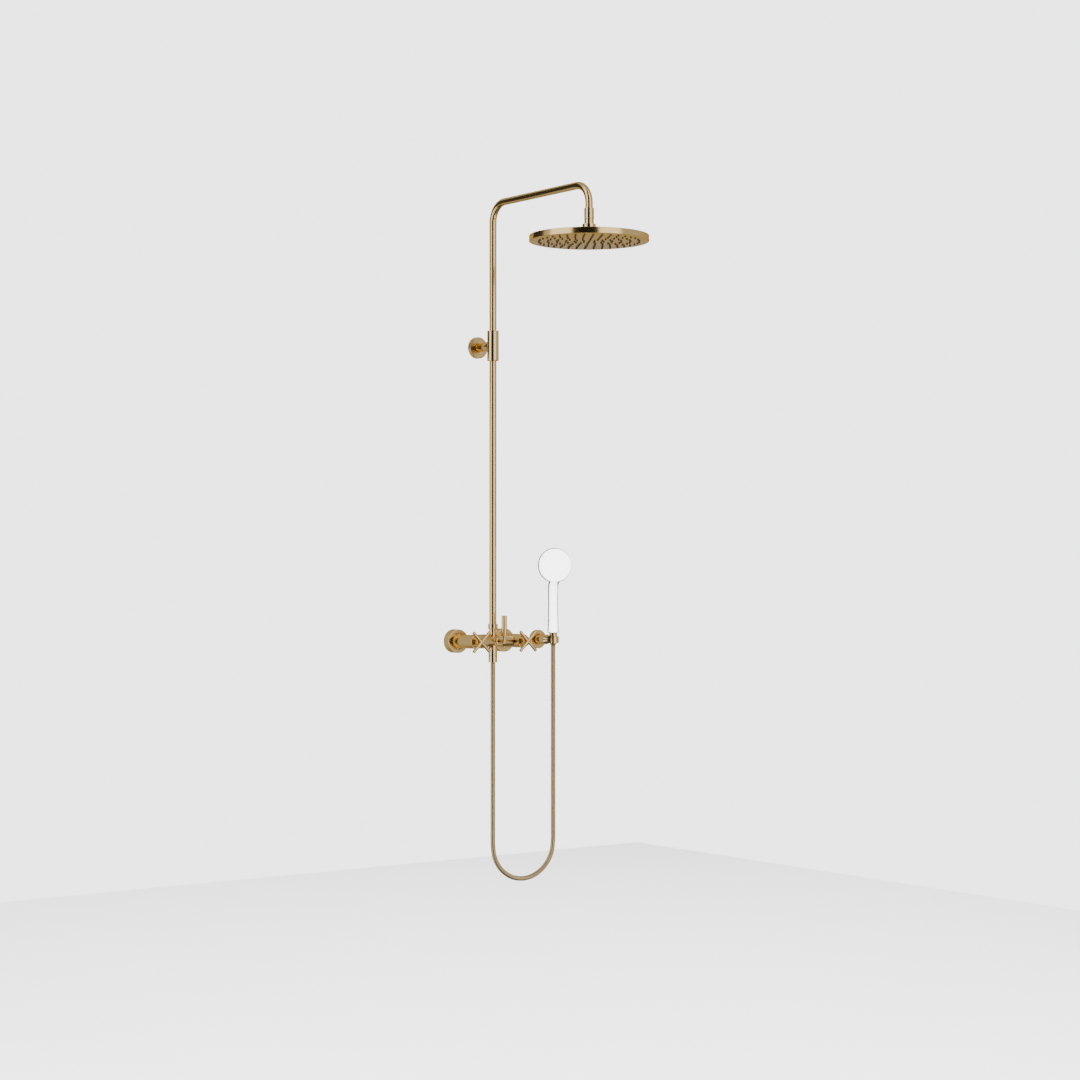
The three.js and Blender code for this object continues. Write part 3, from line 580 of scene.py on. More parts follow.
@dataclass
class Shape:
    """Corners, in millimetres, and the faces between them.

    Attributes:
        points: The corners.
        faces: The faces, as tuples of corner numbers.
    """

    points: list[Vector] = field(default_factory=list)
    faces: list[tuple[int, ...]] = field(default_factory=list)

    def __add__(self, other: "Shape") -> "Shape":
        """This shape and another as one.

        Args:
            other: The other shape.

        Returns:
            A shape with the corners and faces of both.
        """
        start = len(self.points)
        moved = [tuple(i + start for i in face) for face in other.faces]
        return Shape(self.points + other.points, self.faces + moved)

    def moved(self, *by: float) -> "Shape":
        """The shape moved by a distance along X, Y and Z."""
        return Shape([point + Vector(by) for point in self.points], self.faces)

    def turned(self, degrees: float, axis: str) -> "Shape":
        """The shape turned about an axis through the origin."""
        matrix = Matrix.Rotation(math.radians(degrees), 3, axis)
        return Shape([matrix @ point for point in self.points], self.faces)

    def pressed(self, rule: Callable[[Vector], Vector]) -> "Shape":
        """The shape with each of its points moved by a rule."""
        return Shape([rule(point) for point in self.points], self.faces)

    def show(self, nodes: str | Sequence[str], finish: Finish) -> bpy.types.Object:
        """Make an object that stands for CAD nodes and moves with their body.

        Args:
            nodes: The CAD node, or nodes, that it stands for.
            finish: Its finish.

        Returns:
            The object.
        """
        names = [nodes] if isinstance(nodes, str) else list(nodes)
        made = self.mesh_object(f"{names[0]}_shown", finish)
        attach(made, BODY_OF[names[0]])
        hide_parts(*names)
        log.info("%s: %d faces, moves with %s", made.name, len(made.data.polygons), BODY_OF[names[0]])
        return made

    def mesh_object(self, name: str, finish: Finish) -> bpy.types.Object:
        """Make a mesh object in the scene.

        Args:
            name: The object's name.
            finish: Its finish.

        Returns:
            The object.
        """
        mesh = bpy.data.meshes.new(name)
        mesh.from_pydata([tuple(point * MM) for point in self.points], [], self.faces)
        mesh.validate()
        mesh.shade_smooth()
        mesh.set_sharp_from_angle(angle=math.radians(38))
        mesh.materials.append(finish.material())
        made = bpy.data.objects.new(name, mesh)
        bpy.context.scene.collection.objects.link(made)
        return made


def lathe(outline: Sequence[Pair], axis: Axis, soft: float = 0.4, sides: int = SIDES) -> Shape:
    """Turn an outline about an axis through the origin.

    Args:
        outline: Points of (radius, distance). It starts and ends on the axis, or joins up with its start.
        axis: The axis.
        soft: How much its corners are rounded.
        sides: How many sides the turned piece has.

    Returns:
        The turned shape.
    """
    profile = rounded(outline, soft) if soft else list(outline)
    along, u, v = (Vector(direction) for direction in axis.value)
    if u.cross(v).dot(along) < 0:
        u = -u
    closed = not (profile[0][0] == 0 and profile[-1][0] == 0)
    shape = Shape()
    rings: list[list[int]] = []
    for radius, distance in profile:
        start = len(shape.points)
        if radius < 1e-6:
            shape.points.append(along * distance)
            rings.append([start] * sides)
            continue
        for i in range(sides):
            angle = 2 * math.pi * i / sides
            shape.points.append(along * distance + (u * math.cos(angle) + v * math.sin(angle)) * radius)
        rings.append(list(range(start, start + sides)))
    area = sum(a[0] * b[1] - b[0] * a[1] for a, b in zip(profile, [*profile[1:], profile[0]]))
    for i in range(len(rings) if closed else len(rings) - 1):
        low, high = rings[i], rings[(i + 1) % len(rings)]
        for j in range(sides):
            k = (j + 1) % sides
            face = list(dict.fromkeys((low[j], low[k], high[k], high[j])))
            if len(face) > 2:
                shape.faces.append(tuple(face if area > 0 else reversed(face)))
    return shape


def rod(radius: float, low: float, high: float, axis: Axis, soft: float = 0.4, sides: int = SIDES) -> Shape:
    """A plain round rod between two distances along an axis."""
    return lathe([(0, low), (radius, low), (radius, high), (0, high)], axis, soft, sides)


def pipe(outer: float, bore: float, low: float, high: float, axis: Axis, soft: float = 0.4) -> Shape:
    """A plain ring or pipe between two distances along an axis."""
    return lathe([(bore, low), (outer, low), (outer, high), (bore, high)], axis, soft)


def ring_part(outer: float, inner: float, start: float, end: float, low: float, high: float) -> Shape:
    """Part of a ring about an upright axis, with its four long edges softened.

    Args:
        outer: Its outer radius.
        inner: Its inner radius.
        start: Where it starts, in degrees clockwise from straight out, seen from above.
        end: Where it ends.
        low: Its lower face's height.
        high: Its upper face's height.

    Returns:
        The shape.
    """
    square = [(inner, low), (outer, low), (outer, high), (inner, high)]
    section = rounded(square, 0.5)
    steps = max(8, int(abs(end - start) / 3))
    shape = Shape()
    for step in range(steps + 1):
        angle = math.radians(start + (end - start) * step / steps)
        direction = Vector((-math.sin(angle), -math.cos(angle), 0))
        shape.points += [direction * radius + Vector((0, 0, height)) for radius, height in section]
    width = len(section)
    for step in range(steps):
        for i in range(width):
            j = (i + 1) % width
            a, b = step * width, (step + 1) * width
            shape.faces.append((a + i, a + j, b + j, b + i))
    shape.faces.append(tuple(reversed(range(width))))
    shape.faces.append(tuple(steps * width + i for i in range(width)))
    return shape


def sweep(path: Sequence[Vector], radii: Sequence[float], across: Vector, sides: int) -> Shape:
    """A solid round bar along a flat path.

    Args:
        path: The path's points, in millimetres.
        radii: The bar's radius at each point.
        across: The direction square to the plane that the path lies in.
        sides: How many sides the bar has.

    Returns:
        The shape.
    """
    shape = Shape()
    count = len(path)
    for i, (at, radius) in enumerate(zip(path, radii)):
        ahead = (path[min(i + 1, count - 1)] - path[max(i - 1, 0)]).normalized()
        side = ahead.cross(across).normalized()
        for j in range(sides):
            angle = 2 * math.pi * j / sides
            shape.points.append(at + (across * math.cos(angle) + side * math.sin(angle)) * radius)
    for i in range(count - 1):
        for j in range(sides):
            k = (j + 1) % sides
            low, high = i * sides, (i + 1) * sides
            shape.faces.append((low + j, high + j, high + k, low + k))
    shape.faces.append(tuple(range(sides)))
    shape.faces.append(tuple((count - 1) * sides + j for j in reversed(range(sides))))
    return shape


def sphere_arc(centre: float, radius: float, start: float, end: float, steps: int = 12) -> list[Pair]:
    """Outline points on a circle whose centre is on the axis.

    Args:
        centre: The centre's distance along the axis.
        radius: The circle's radius.
        start: The angle of the first point, from the axis's low end, in radians.
        end: The angle of the last point.
        steps: How many short edges there are.

    Returns:
        The points.
    """
    points = []
    for step in range(steps + 1):
        angle = start + (end - start) * step / steps
        points.append((radius * math.sin(angle), centre - radius * math.cos(angle)))
    return points


def nozzle_places(rings: Iterable[tuple[float, int]]) -> list[Pair]:
    """Where the nozzles lie, the first of each ring a little to one side of +X.

    Args:
        rings: Each ring's radius, and how many nozzles it has.

    Returns:
        The places, across and along.
    """
    places = []
    for radius, count in rings:
        for i in range(count):
            angle = 2 * math.pi * i / count - RING_TURN
            places.append((radius * math.cos(angle), radius * math.sin(angle)))
    return places


def surface_at(radius: float, off: float) -> float:
    """How far from a round piece's axis its side lies, seen from a neighbour that is cut to fit it.

    Args:
        radius: The round piece's radius.
        off: The distance to one side of the axis, square to the view.

    Returns:
        The distance towards the neighbour, with the clearance.
    """
    return math.sqrt(max(0.0, (radius + GAP) ** 2 - off**2))


def catmull_rom(points: Sequence[Vector], steps: int) -> list[Vector]:
    """A smooth line through points.

    Args:
        points: The points.
        steps: How many short lines there are between two of them.

    Returns:
        Points along the line.
    """
    ends = [points[0] * 2 - points[1], *points, points[-1] * 2 - points[-2]]
    line: list[Vector] = []
    for before, here, there, after in zip(ends, ends[1:], ends[2:], ends[3:]):
        for step in range(steps):
            t = step / steps
            cubic = (there - before) * t + (before * 2 - here * 5 + there * 4 - after) * t**2
            cubic += (here * 3 - before - there * 3 + after) * t**3
            line.append(here + cubic / 2)
    line.append(points[-1].copy())
    return line


def evenly(line: Sequence[Vector], spacing: float) -> list[Vector]:
    """Points at even distances along a line.

    Args:
        line: The line.
        spacing: The distance wanted between two points.

    Returns:
        The points, from the line's start to its end.
    """
    reached = [0.0]
    for a, b in zip(line, line[1:]):
        reached.append(reached[-1] + (b - a).length)
    count = max(2, round(reached[-1] / spacing))
    points = []
    at = 0
    for i in range(count + 1):
        want = reached[-1] * i / count
        while at < len(line) - 2 and reached[at + 1] < want:
            at += 1
        span = reached[at + 1] - reached[at]
        points.append(line[at].lerp(line[at + 1], (want - reached[at]) / span))
    return points


# ---------------------------------------------------------------- the column's assemblies


@dataclass(frozen=True)
class Rosette:
    """A wall rosette: a shallow cup that opens to the wall.

    Attributes:
        radius: Its outer radius.
        depth: How far it stands out from the wall.
        wall: The thickness of its wall.
    """

    radius: float
    depth: float
    wall: float

    def shape(self, hole: float) -> Shape:
        """The rosette, with a round hole in its front.

        Args:
            hole: The hole's radius.

        Returns:
            The shape.
        """
        inner, floor = self.radius - self.wall, self.depth - self.wall
        outline = [
            (inner, 0),
            (self.radius, 0),
            (self.radius, self.depth),
            (hole, self.depth),
            (hole, floor),
            (inner, floor),
        ]
        return lathe(outline, Axis.OUT, 0.9)


@dataclass
class InletValve:
    """One inlet: rosette, barrel, headwork and cross handle.

    Attributes:
        label: "hot" or "cold".
        side: Its distance to the right of the riser.
        rosette: The rosette.
        barrel_back: How far out the barrel starts.
        union_bore: The radius of the barrel's bore for the wall union.
        union_end: How far out that bore ends.
        waterway: The radius of the barrel's waterway.
        valve_bore: The radius of the barrel's front bore, for the headwork.
        valve_seat: How far out the front bore starts.
        spindle_bore: The radius of the headwork's bore.
        headwork_back: How far out the headwork starts.
        neck: The radius of the headwork's neck, in front of the barrel.
        neck_length: How far the neck stands out of the barrel.
        hub: The handle hub's outer radius.
        hub_bore: Its inner radius.
        hub_length: Its length.
        hub_wall: The thickness of its front.
        bar: The radius of the cross's bars.
        bar_reach: How far a bar reaches from the cross's middle.
        boss: The radius of the boss behind the cross's middle.
    """

    label: str
    side: float
    rosette: Rosette = Rosette(31.3, 24.7, 1.6)
    barrel_back: float = 20.0
    union_bore: float = 12.0
    union_end: float = 34.6
    waterway: float = 6.0
    valve_bore: float = 13.0
    valve_seat: float = 60.0
    spindle_bore: float = 4.5
    headwork_back: float = 92.0
    neck: float = 7.0
    neck_length: float = 5.0
    hub: float = 11.0
    hub_bore: float = 7.4
    hub_length: float = 15.6
    hub_wall: float = 1.4
    bar: float = 4.4
    bar_reach: float = 36.0
    boss: float = 6.0

    def place(self, shape: Shape, piece: str, finish: Finish) -> None:
        """Put a shape made about the wall's axis at this inlet, and show it."""
        shape.moved(self.side, 0.0, 0.0).show(f"{self.label}_{piece}", finish)

    def build(self) -> None:
        """Make its pieces."""
        self.place(self.rosette.shape(BARREL_R + GAP), "inlet_rosette", BRASS_FACE)
        self.build_barrel()
        self.build_headwork()
        self.build_handle()

    def build_barrel(self) -> None:
        """Make the barrel, bored from both ends."""
        outline = [
            (self.union_bore, self.barrel_back),
            (BARREL_R, self.barrel_back),
            (BARREL_R, BARREL_FRONT),
            (self.valve_bore, BARREL_FRONT),
            (self.valve_bore, self.valve_seat),
            (self.waterway, self.valve_seat),
            (self.waterway, self.union_end),
            (self.union_bore, self.union_end),
        ]
        self.place(lathe(outline, Axis.OUT, 0.7), "valve_barrel", BRASS_OUT)

    def build_headwork(self) -> None:
        """Make the headwork that holds the spindle in the barrel."""
        outer, front = self.valve_bore - GAP, BARREL_FRONT - GAP
        neck_end = BARREL_FRONT + self.neck_length
        outline = [
            (self.spindle_bore, self.headwork_back),
            (outer, self.headwork_back),
            (outer, front),
            (self.neck, front),
            (self.neck, neck_end),
            (self.spindle_bore, neck_end),
        ]
        self.place(lathe(outline, Axis.OUT, 0.3), "headwork", BRASS_OUT)

    def build_handle(self) -> None:
        """Make the hub and the cross handle in front of it."""
        back = BARREL_FRONT + RUN
        front = back + self.hub_length
        inside = front - self.hub_wall
        outline = [
            (0.0, inside),
            (self.hub_bore, inside),
            (self.hub_bore, back),
            (self.hub, back),
            (self.hub, front),
            (0.0, front),
        ]
        self.place(lathe(outline, Axis.OUT, 0.6), "handle_hub", BRASS_OUT)
        bar = rod(self.bar, -self.bar_reach, self.bar_reach, Axis.UP, 0.5, 64)
        boss = rod(self.boss, -self.bar, 0.0, Axis.OUT, 0.3, 48)
        cross = bar.turned(45, "Y") + bar.turned(-45, "Y") + boss
        self.place(cross.moved(0.0, -(front + GAP + self.bar), 0.0), "cross_handle", BRASS_RIGHT)


@dataclass
class Mixer:
    """The mixer's body with its riser socket, hose outlet and diverter.

    Attributes:
        end_short: How far the body's ends stop short of the barrels' axes.
        branch: How far the diverter's branch stands out.
        socket: The riser socket's radius and top.
        nipple: The riser nipple's radius and top.
        outlet: The hose outlet's radius and foot.
        tail: The outlet nipple's radius and foot.
        lap: How far a nipple starts inside what it stands on.
        collar: The collar's inner radius, then its outer radius at its left and right ends.
        collar_ends: The collar's left and right ends.
        collar_fit: Left of here the collar is shaped to the barrel.
        lever_out: The diverter's lever in front of the body's axis.
    """

    end_short: float = 1.0
    branch: float = 17.0
    socket: Pair = (10.3, 31.4)
    nipple: Pair = (8.8, 36.0)
    outlet: Pair = (11.6, -37.3)
    tail: Pair = (9.3, -47.0)
    lap: Pair = (31.0, -37.0)
    collar: Point = (15.5, 18.4, 18.7)
    collar_ends: Pair = (-56.6, -26.0)
    collar_fit: float = -45.0
    lever_out: float = 40.0

    def build(self) -> None:
        """Make its pieces."""
        self.build_body()
        self.build_collar()
        self.build_diverter()

    def build_body(self) -> None:
        """Make the body, whose ends are hollowed to sit against the two round barrels."""

        def to_barrels(point: Vector) -> Vector:
            """Move a point of an end back to its barrel's surface.

            Args:
                point: The point.

            Returns:
                Where it goes.
            """
            if abs(point.x) < HALF_SPACING / 2:
                return point
            face = HALF_SPACING - surface_at(BARREL_R, point.z)
            return Vector((math.copysign(face, point.x), point.y, point.z))

        reach = HALF_SPACING - self.end_short
        tube = rod(BODY_R, -reach, reach, Axis.RIGHT, 0.0).pressed(to_barrels)
        branch = rod(BODY_R, 0.0, self.branch, Axis.OUT, 0.5).moved(DIVERTER_SIDE, 0.0, 0.0)
        socket = rod(self.socket[0], 0.0, self.socket[1], Axis.UP, 0.4)
        nipple = rod(self.nipple[0], self.lap[0], self.nipple[1], Axis.UP, 0.0)
        outlet = rod(self.outlet[0], self.outlet[1], 0.0, Axis.UP, 0.4)
        tail = rod(self.tail[0], self.tail[1], self.lap[1], Axis.UP, 0.0)
        body = tube + branch + socket + nipple + outlet + tail
        body.moved(0.0, -BODY_OUT, 0.0).show("mixer_body", BRASS_RIGHT)

    def build_collar(self) -> None:
        """Make the collar at the body's left end."""

        def to_barrel(point: Vector) -> Vector:
            """Move a point of the collar's outer end to the left barrel's surface."""
            if point.x > self.collar_fit:
                return point
            return Vector((-HALF_SPACING + surface_at(BARREL_R, point.z), point.y, point.z))

        inner, outer_left, outer_right = self.collar
        left, right = self.collar_ends
        outline = [(inner, left), (outer_left, left), (outer_right, right), (inner, right)]
        collar = lathe(outline, Axis.RIGHT, 0.6).pressed(to_barrel)
        collar.moved(0.0, -BODY_OUT, 0.0).show("body_collar", BRASS_RIGHT)

    def build_diverter(self) -> None:
        """Make the diverter's bonnet, spindle, rod and grip."""
        place = (DIVERTER_SIDE, -BODY_OUT, 0.0)
        bonnet = [(4.4, 17.3), (12.2, 17.3), (12.2, 19.2), (9.8, 20.7), (4.4, 20.7)]
        lathe(bonnet, Axis.OUT, 0.9).moved(*place).show("diverter_bonnet", BRASS_OUT)
        rod(4.0, 4.5, 35.5, Axis.OUT, 0.2, 64).moved(*place).show("diverter_spindle", BRASS_OUT)
        lever = (DIVERTER_SIDE, -BODY_OUT - self.lever_out, 0.0)
        rod(4.2, -5.2, 60.5, Axis.UP, 0.5, 64).moved(*lever).show("diverter_rod", BRASS_UP)
        grip = [(0.0, 60.8), (4.5, 60.8), (4.5, 14.2), (7.3, 14.2), (7.3, 68.0), (0.0, 68.0)]
        lathe(grip, Axis.UP, 0.7, 72).moved(*lever).show("diverter_grip", BRASS_UP)


@dataclass
class Riser:
    """The riser with its nut, its wall bracket and the overhead arm.

    Attributes:
        nut: The nut's outer radius, foot and top.
        foot: The riser's foot.
        rosette: The bracket's rosette.
        hole: The radius of the hole in the rosette.
        sleeve: The bracket sleeve's outer radius.
        sleeve_half: Half of the sleeve's length.
        arm_end: The height of the arm's outer end.
        bend_steps: How many short lengths each of the arm's bends has.
    """

    nut: Point = (12.9, 32.2, 45.3)
    foot: float = 38.6
    rosette: Rosette = Rosette(28.7, 10.5, 1.5)
    hole: float = 11.3
    sleeve: float = 15.5
    sleeve_half: float = 39.6
    arm_end: float = 1066.3
    bend_steps: int = 28

    def build(self) -> None:
        """Make its pieces."""
        out = (0.0, -BODY_OUT, 0.0)
        radius, low, high = self.nut
        pipe(radius, TUBE_R + GAP, low, high, Axis.UP, 0.9).moved(*out).show("riser_nut", BRASS_UP)
        top = BRACKET_HEIGHT - GAP / 2
        tube = pipe(TUBE_R, TUBE_R - TUBE_WALL, self.foot, top, Axis.UP)
        tube.moved(*out).show("riser_tube", BRASS_UP)
        self.build_bracket()
        self.build_arm()

    def build_bracket(self) -> None:
        """Make the wall bracket."""
        up = (0.0, 0.0, BRACKET_HEIGHT)
        self.rosette.shape(self.hole).moved(*up).show("bracket_rosette", BRASS_FACE)
        sleeve = pipe(self.sleeve, TUBE_R + GAP, -self.sleeve_half, self.sleeve_half, Axis.UP, 0.8)
        sleeve.moved(0.0, -BODY_OUT, BRACKET_HEIGHT).show("bracket_sleeve", BRASS_UP)

        def to_sleeve(point: Vector) -> Vector:
            """Move a point of the neck's end back to the sleeve's surface."""
            return Vector((point.x, max(point.y, surface_at(self.sleeve, point.x) - BODY_OUT), point.z))

        neck = [
            (0.0, 37.8),
            (6.0, 37.8),
            (6.0, 7.0),
            (11.0, 7.0),
            (11.0, 12.5),
            (11.6, 30.0),
            (12.5, 48.0),
            (13.5, 63.0),
            (0.0, 63.0),
        ]
        lathe(neck, Axis.OUT, 0.2).pressed(to_sleeve).moved(*up).show("bracket_neck", BRASS_OUT)

    def build_arm(self) -> None:
        """Make the overhead arm: up from the bracket, out over the bather and down."""
        start = BRACKET_HEIGHT + GAP / 2
        path = [Vector((0.0, -BODY_OUT, start)), Vector((0.0, -BODY_OUT, ARM_HEIGHT - 2 * ARM_BEND_R))]
        angles = [math.pi / 2 * i / self.bend_steps for i in range(self.bend_steps + 1)]
        for angle in angles:
            across, along = ARM_BEND_R * (1 - math.cos(angle)), ARM_BEND_R * (1 - math.sin(angle))
            path.append(Vector((0.0, -BODY_OUT - across, ARM_HEIGHT - along)))
        for angle in angles:
            across, down = ARM_BEND_R * (1 - math.sin(angle)), ARM_BEND_R * (1 - math.cos(angle))
            path.append(Vector((0.0, -HEAD_OUT + across, ARM_HEIGHT - down)))
        path.append(Vector((0.0, -HEAD_OUT, self.arm_end)))
        sweep(path, [TUBE_R] * len(path), Vector((1.0, 0.0, 0.0)), 64).show("arm_tube", BRASS_UP)


@dataclass
class RainHead:
    """The rain head with its ball joint and nozzles.

    Attributes:
        radius: Its radius.
        rim: The height of its rim above its lower face.
        plate: The spray plate's radius.
        mat: The radius of the soft mat behind the plate.
        socket: The ball socket's outer and inner radii.
        socket_top: The socket's top.
        flange: The flange's radius, foot and shoulder.
        bore: The radius of the waterway through the flange and the shell.
        nozzle: A nozzle's radius at its root.
        tip: Its radius at its tip.
        stand: How far it stands out of the plate.
    """

    radius: float = 150.0
    rim: float = 14.5
    plate: float = 147.6
    mat: float = 136.0
    socket: Pair = (12.0, 8.3)
    socket_top: float = 1061.6
    flange: Point = (17.0, 1036.3, 1049.7)
    bore: float = 5.4
    nozzle: float = 2.5
    tip: float = 2.2
    stand: float = 3.0

    def build(self) -> None:
        """Make its pieces."""
        self.build_joint()
        out = (0.0, -HEAD_OUT, 0.0)
        rim = HEAD_LOW + self.rim
        shell = [
            (148.3, HEAD_LOW),
            (self.radius, HEAD_LOW),
            (self.radius, rim),
            (148.6, rim + 0.5),
            (26.0, 1026.0),
            (25.2, 1036.0),
            (self.bore, 1036.0),
            (self.bore, 1024.3),
            (26.0, 1024.3),
            (148.3, rim - 1.7),
        ]
        lathe(shell, Axis.UP, 0.8, 192).moved(*out).show("head_shell", BRASS_RIGHT)
        plate = rod(self.plate, HEAD_LOW, HEAD_LOW + 2.0, Axis.UP, 0.3, 192)
        plate.moved(*out).show("spray_plate", BRASS_FACE)
        self.nozzles().moved(*out).show("nozzle_mat", SILICONE)

    def build_joint(self) -> None:
        """Make the arm's end sleeve and the two halves of the ball joint."""
        out = (0.0, -HEAD_OUT, 0.0)
        sleeve = [
            (9.8, 1066.0),
            (9.8, 1089.5),
            (12.4, 1089.5),
            (12.4, 1061.9),
            (8.0, 1061.9),
            (8.0, 1066.0),
        ]
        lathe(sleeve, Axis.UP, 0.6).moved(*out).show("arm_end_sleeve", BRASS_UP)
        mouth, quarter = math.radians(38), math.pi / 2
        outer, inner = self.socket
        socket = [
            *sphere_arc(BALL_HEIGHT, outer, mouth, quarter),
            (outer, self.socket_top),
            (inner, self.socket_top),
            *sphere_arc(BALL_HEIGHT, inner, quarter, mouth),
        ]
        lathe(socket, Axis.UP, 0.0).moved(*out).show("ball_socket", BRASS_UP)
        radius, foot, shoulder = self.flange
        flange = [
            (self.bore, foot),
            (radius, foot),
            (radius, shoulder),
            *sphere_arc(BALL_HEIGHT, outer + GAP, math.radians(79.0), math.radians(26.1)),
        ]
        lathe(flange, Axis.UP, 0.4).moved(*out).show("head_flange", BRASS_UP)

    def nozzles(self) -> Shape:
        """The soft mat behind the plate and the nozzles that stand out of it."""
        tip, root, back = HEAD_LOW - self.stand, HEAD_LOW + 0.2, HEAD_LOW + 2.5
        shape = rod(self.mat, HEAD_LOW + 2.3, HEAD_LOW + 4.5, Axis.UP, 0.3, 96)
        outline = [(0.0, tip), (self.tip, tip), (self.nozzle, root), (self.nozzle, back), (0.0, back)]
        one = lathe(outline, Axis.UP, 0.4, 16)
        for x, y in nozzle_places(HEAD_RINGS):
            shape = shape + one.moved(x, y, 0.0)
        return shape


@dataclass
class Hose:
    """The wound brass hose with its two nuts.

    Attributes:
        diameter: Its outer diameter, in metres.
        pitch: The distance between its turns, in metres.
        grooves: How far the surface lies below the outside at each quarter of a turn, in millimetres.
        bore: The radius of its nuts' waterway.
    """

    diameter: float = 0.013
    pitch: float = 0.0032
    grooves: tuple[float, ...] = (0.0, 0.12, 0.5, 0.12)
    bore: float = 5.0

    def centreline(self) -> list[Vector]:
        """Points along the hose, close enough together to show its turns."""
        spline = catmull_rom([Vector(point) for point in HOSE_ROUTE], 40)
        return evenly(spline, self.pitch / len(self.grooves))

    def build(self) -> None:
        path = self.centreline()
        outer = self.diameter / 2 / MM
        radii = [outer - self.grooves[i % len(self.grooves)] for i in range(len(path))]
        shape = sweep([point / MM for point in path], radii, Vector((0.0, 1.0, 0.0)), 32)
        made = shape.mesh_object("shower_hose_shown", HOSE_BRASS)
        length = sum((b - a).length for a, b in zip(path, path[1:]))
        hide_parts("shower_hose")
        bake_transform(made)
        log.info("%s: %.3f m long", made.name, length)

    def build_nuts(self) -> None:
        """Make the nuts at the hose's two ends."""
        nut = [
            (self.bore, -55.5),
            (11.6, -55.5),
            (11.6, -37.6),
            (9.6, -37.6),
            (9.6, -49.3),
            (self.bore, -49.3),
        ]
        lathe(nut, Axis.UP, 0.7).moved(0.0, -BODY_OUT, 0.0).show("hose_nut", BRASS_UP)
        cone = [
            (self.bore, -14.5),
            (7.2, -14.5),
            (10.1, -9.0),
            (10.1, 9.6),
            (10.9, 9.6),
            (10.9, 18.4),
            (self.bore, 18.4),
        ]
        lathe(cone, Axis.UP, 0.4).moved(HOLDER_SIDE, -CRADLE_OUT, 0.0).show("hose_cone_nut", BRASS_UP)


@dataclass
class Holder:
    """The wall holder with its open cradle.

    Attributes:
        rosette: Its rosette.
        hole: The radius of the hole in the rosette.
        cradle: The cradle's outer radius.
        shell_inner: The inner radius of its brass shell.
        liner: The outer and inner radii of its liner.
        half: Half of its height.
        mouth: The angles of its mouth's two sides, clockwise from straight out, in degrees.
        bare: The angles between which the liner shows at its full thickness, in degrees.
    """

    rosette: Rosette = Rosette(25.3, 11.0, 1.5)
    hole: float = 13.5
    cradle: float = 15.8
    shell_inner: float = 13.5
    liner: Pair = (13.2, 10.4)
    half: float = 9.3
    mouth: Pair = (86.3, 393.7)
    bare: Pair = (177.0, 180.0)

    def build(self) -> None:
        """Make its pieces."""
        side = (HOLDER_SIDE, 0.0, 0.0)
        self.rosette.shape(self.hole).moved(*side).show("holder_rosette", BRASS_FACE)

        def to_cradle(point: Vector) -> Vector:
            """Move a point of the neck's end back to the cradle's surface."""
            return Vector((point.x, max(point.y, surface_at(self.cradle, point.x) - CRADLE_OUT), point.z))

        neck = [
            (0.0, 43.3),
            (6.0, 43.3),
            (6.0, 5.3),
            (13.2, 5.3),
            (13.2, 47.0),
            (9.0, 58.0),
            (9.0, 61.0),
            (0.0, 61.0),
        ]
        lathe(neck, Axis.OUT, 0.8).pressed(to_cradle).moved(*side).show("holder_neck", BRASS_OUT)
        self.build_cradle()

    def build_cradle(self) -> None:
        """Make the brass shell and the black liner of the cradle."""
        place = (HOLDER_SIDE, -CRADLE_OUT, 0.0)
        left, right = self.mouth
        bare_end, shell_start = self.bare
        low, high = -self.half, self.half
        shell = ring_part(self.cradle, self.shell_inner, shell_start, right, low, high)
        shell.moved(*place).show("cradle_shell", BRASS_UP)
        outer, inner = self.liner
        thin = ring_part(outer, inner, left, right, low, high)
        thick = ring_part(self.cradle, outer - 1.0, left, bare_end, low, high)
        (thin + thick).moved(*place).show("cradle_liner", BLACK)


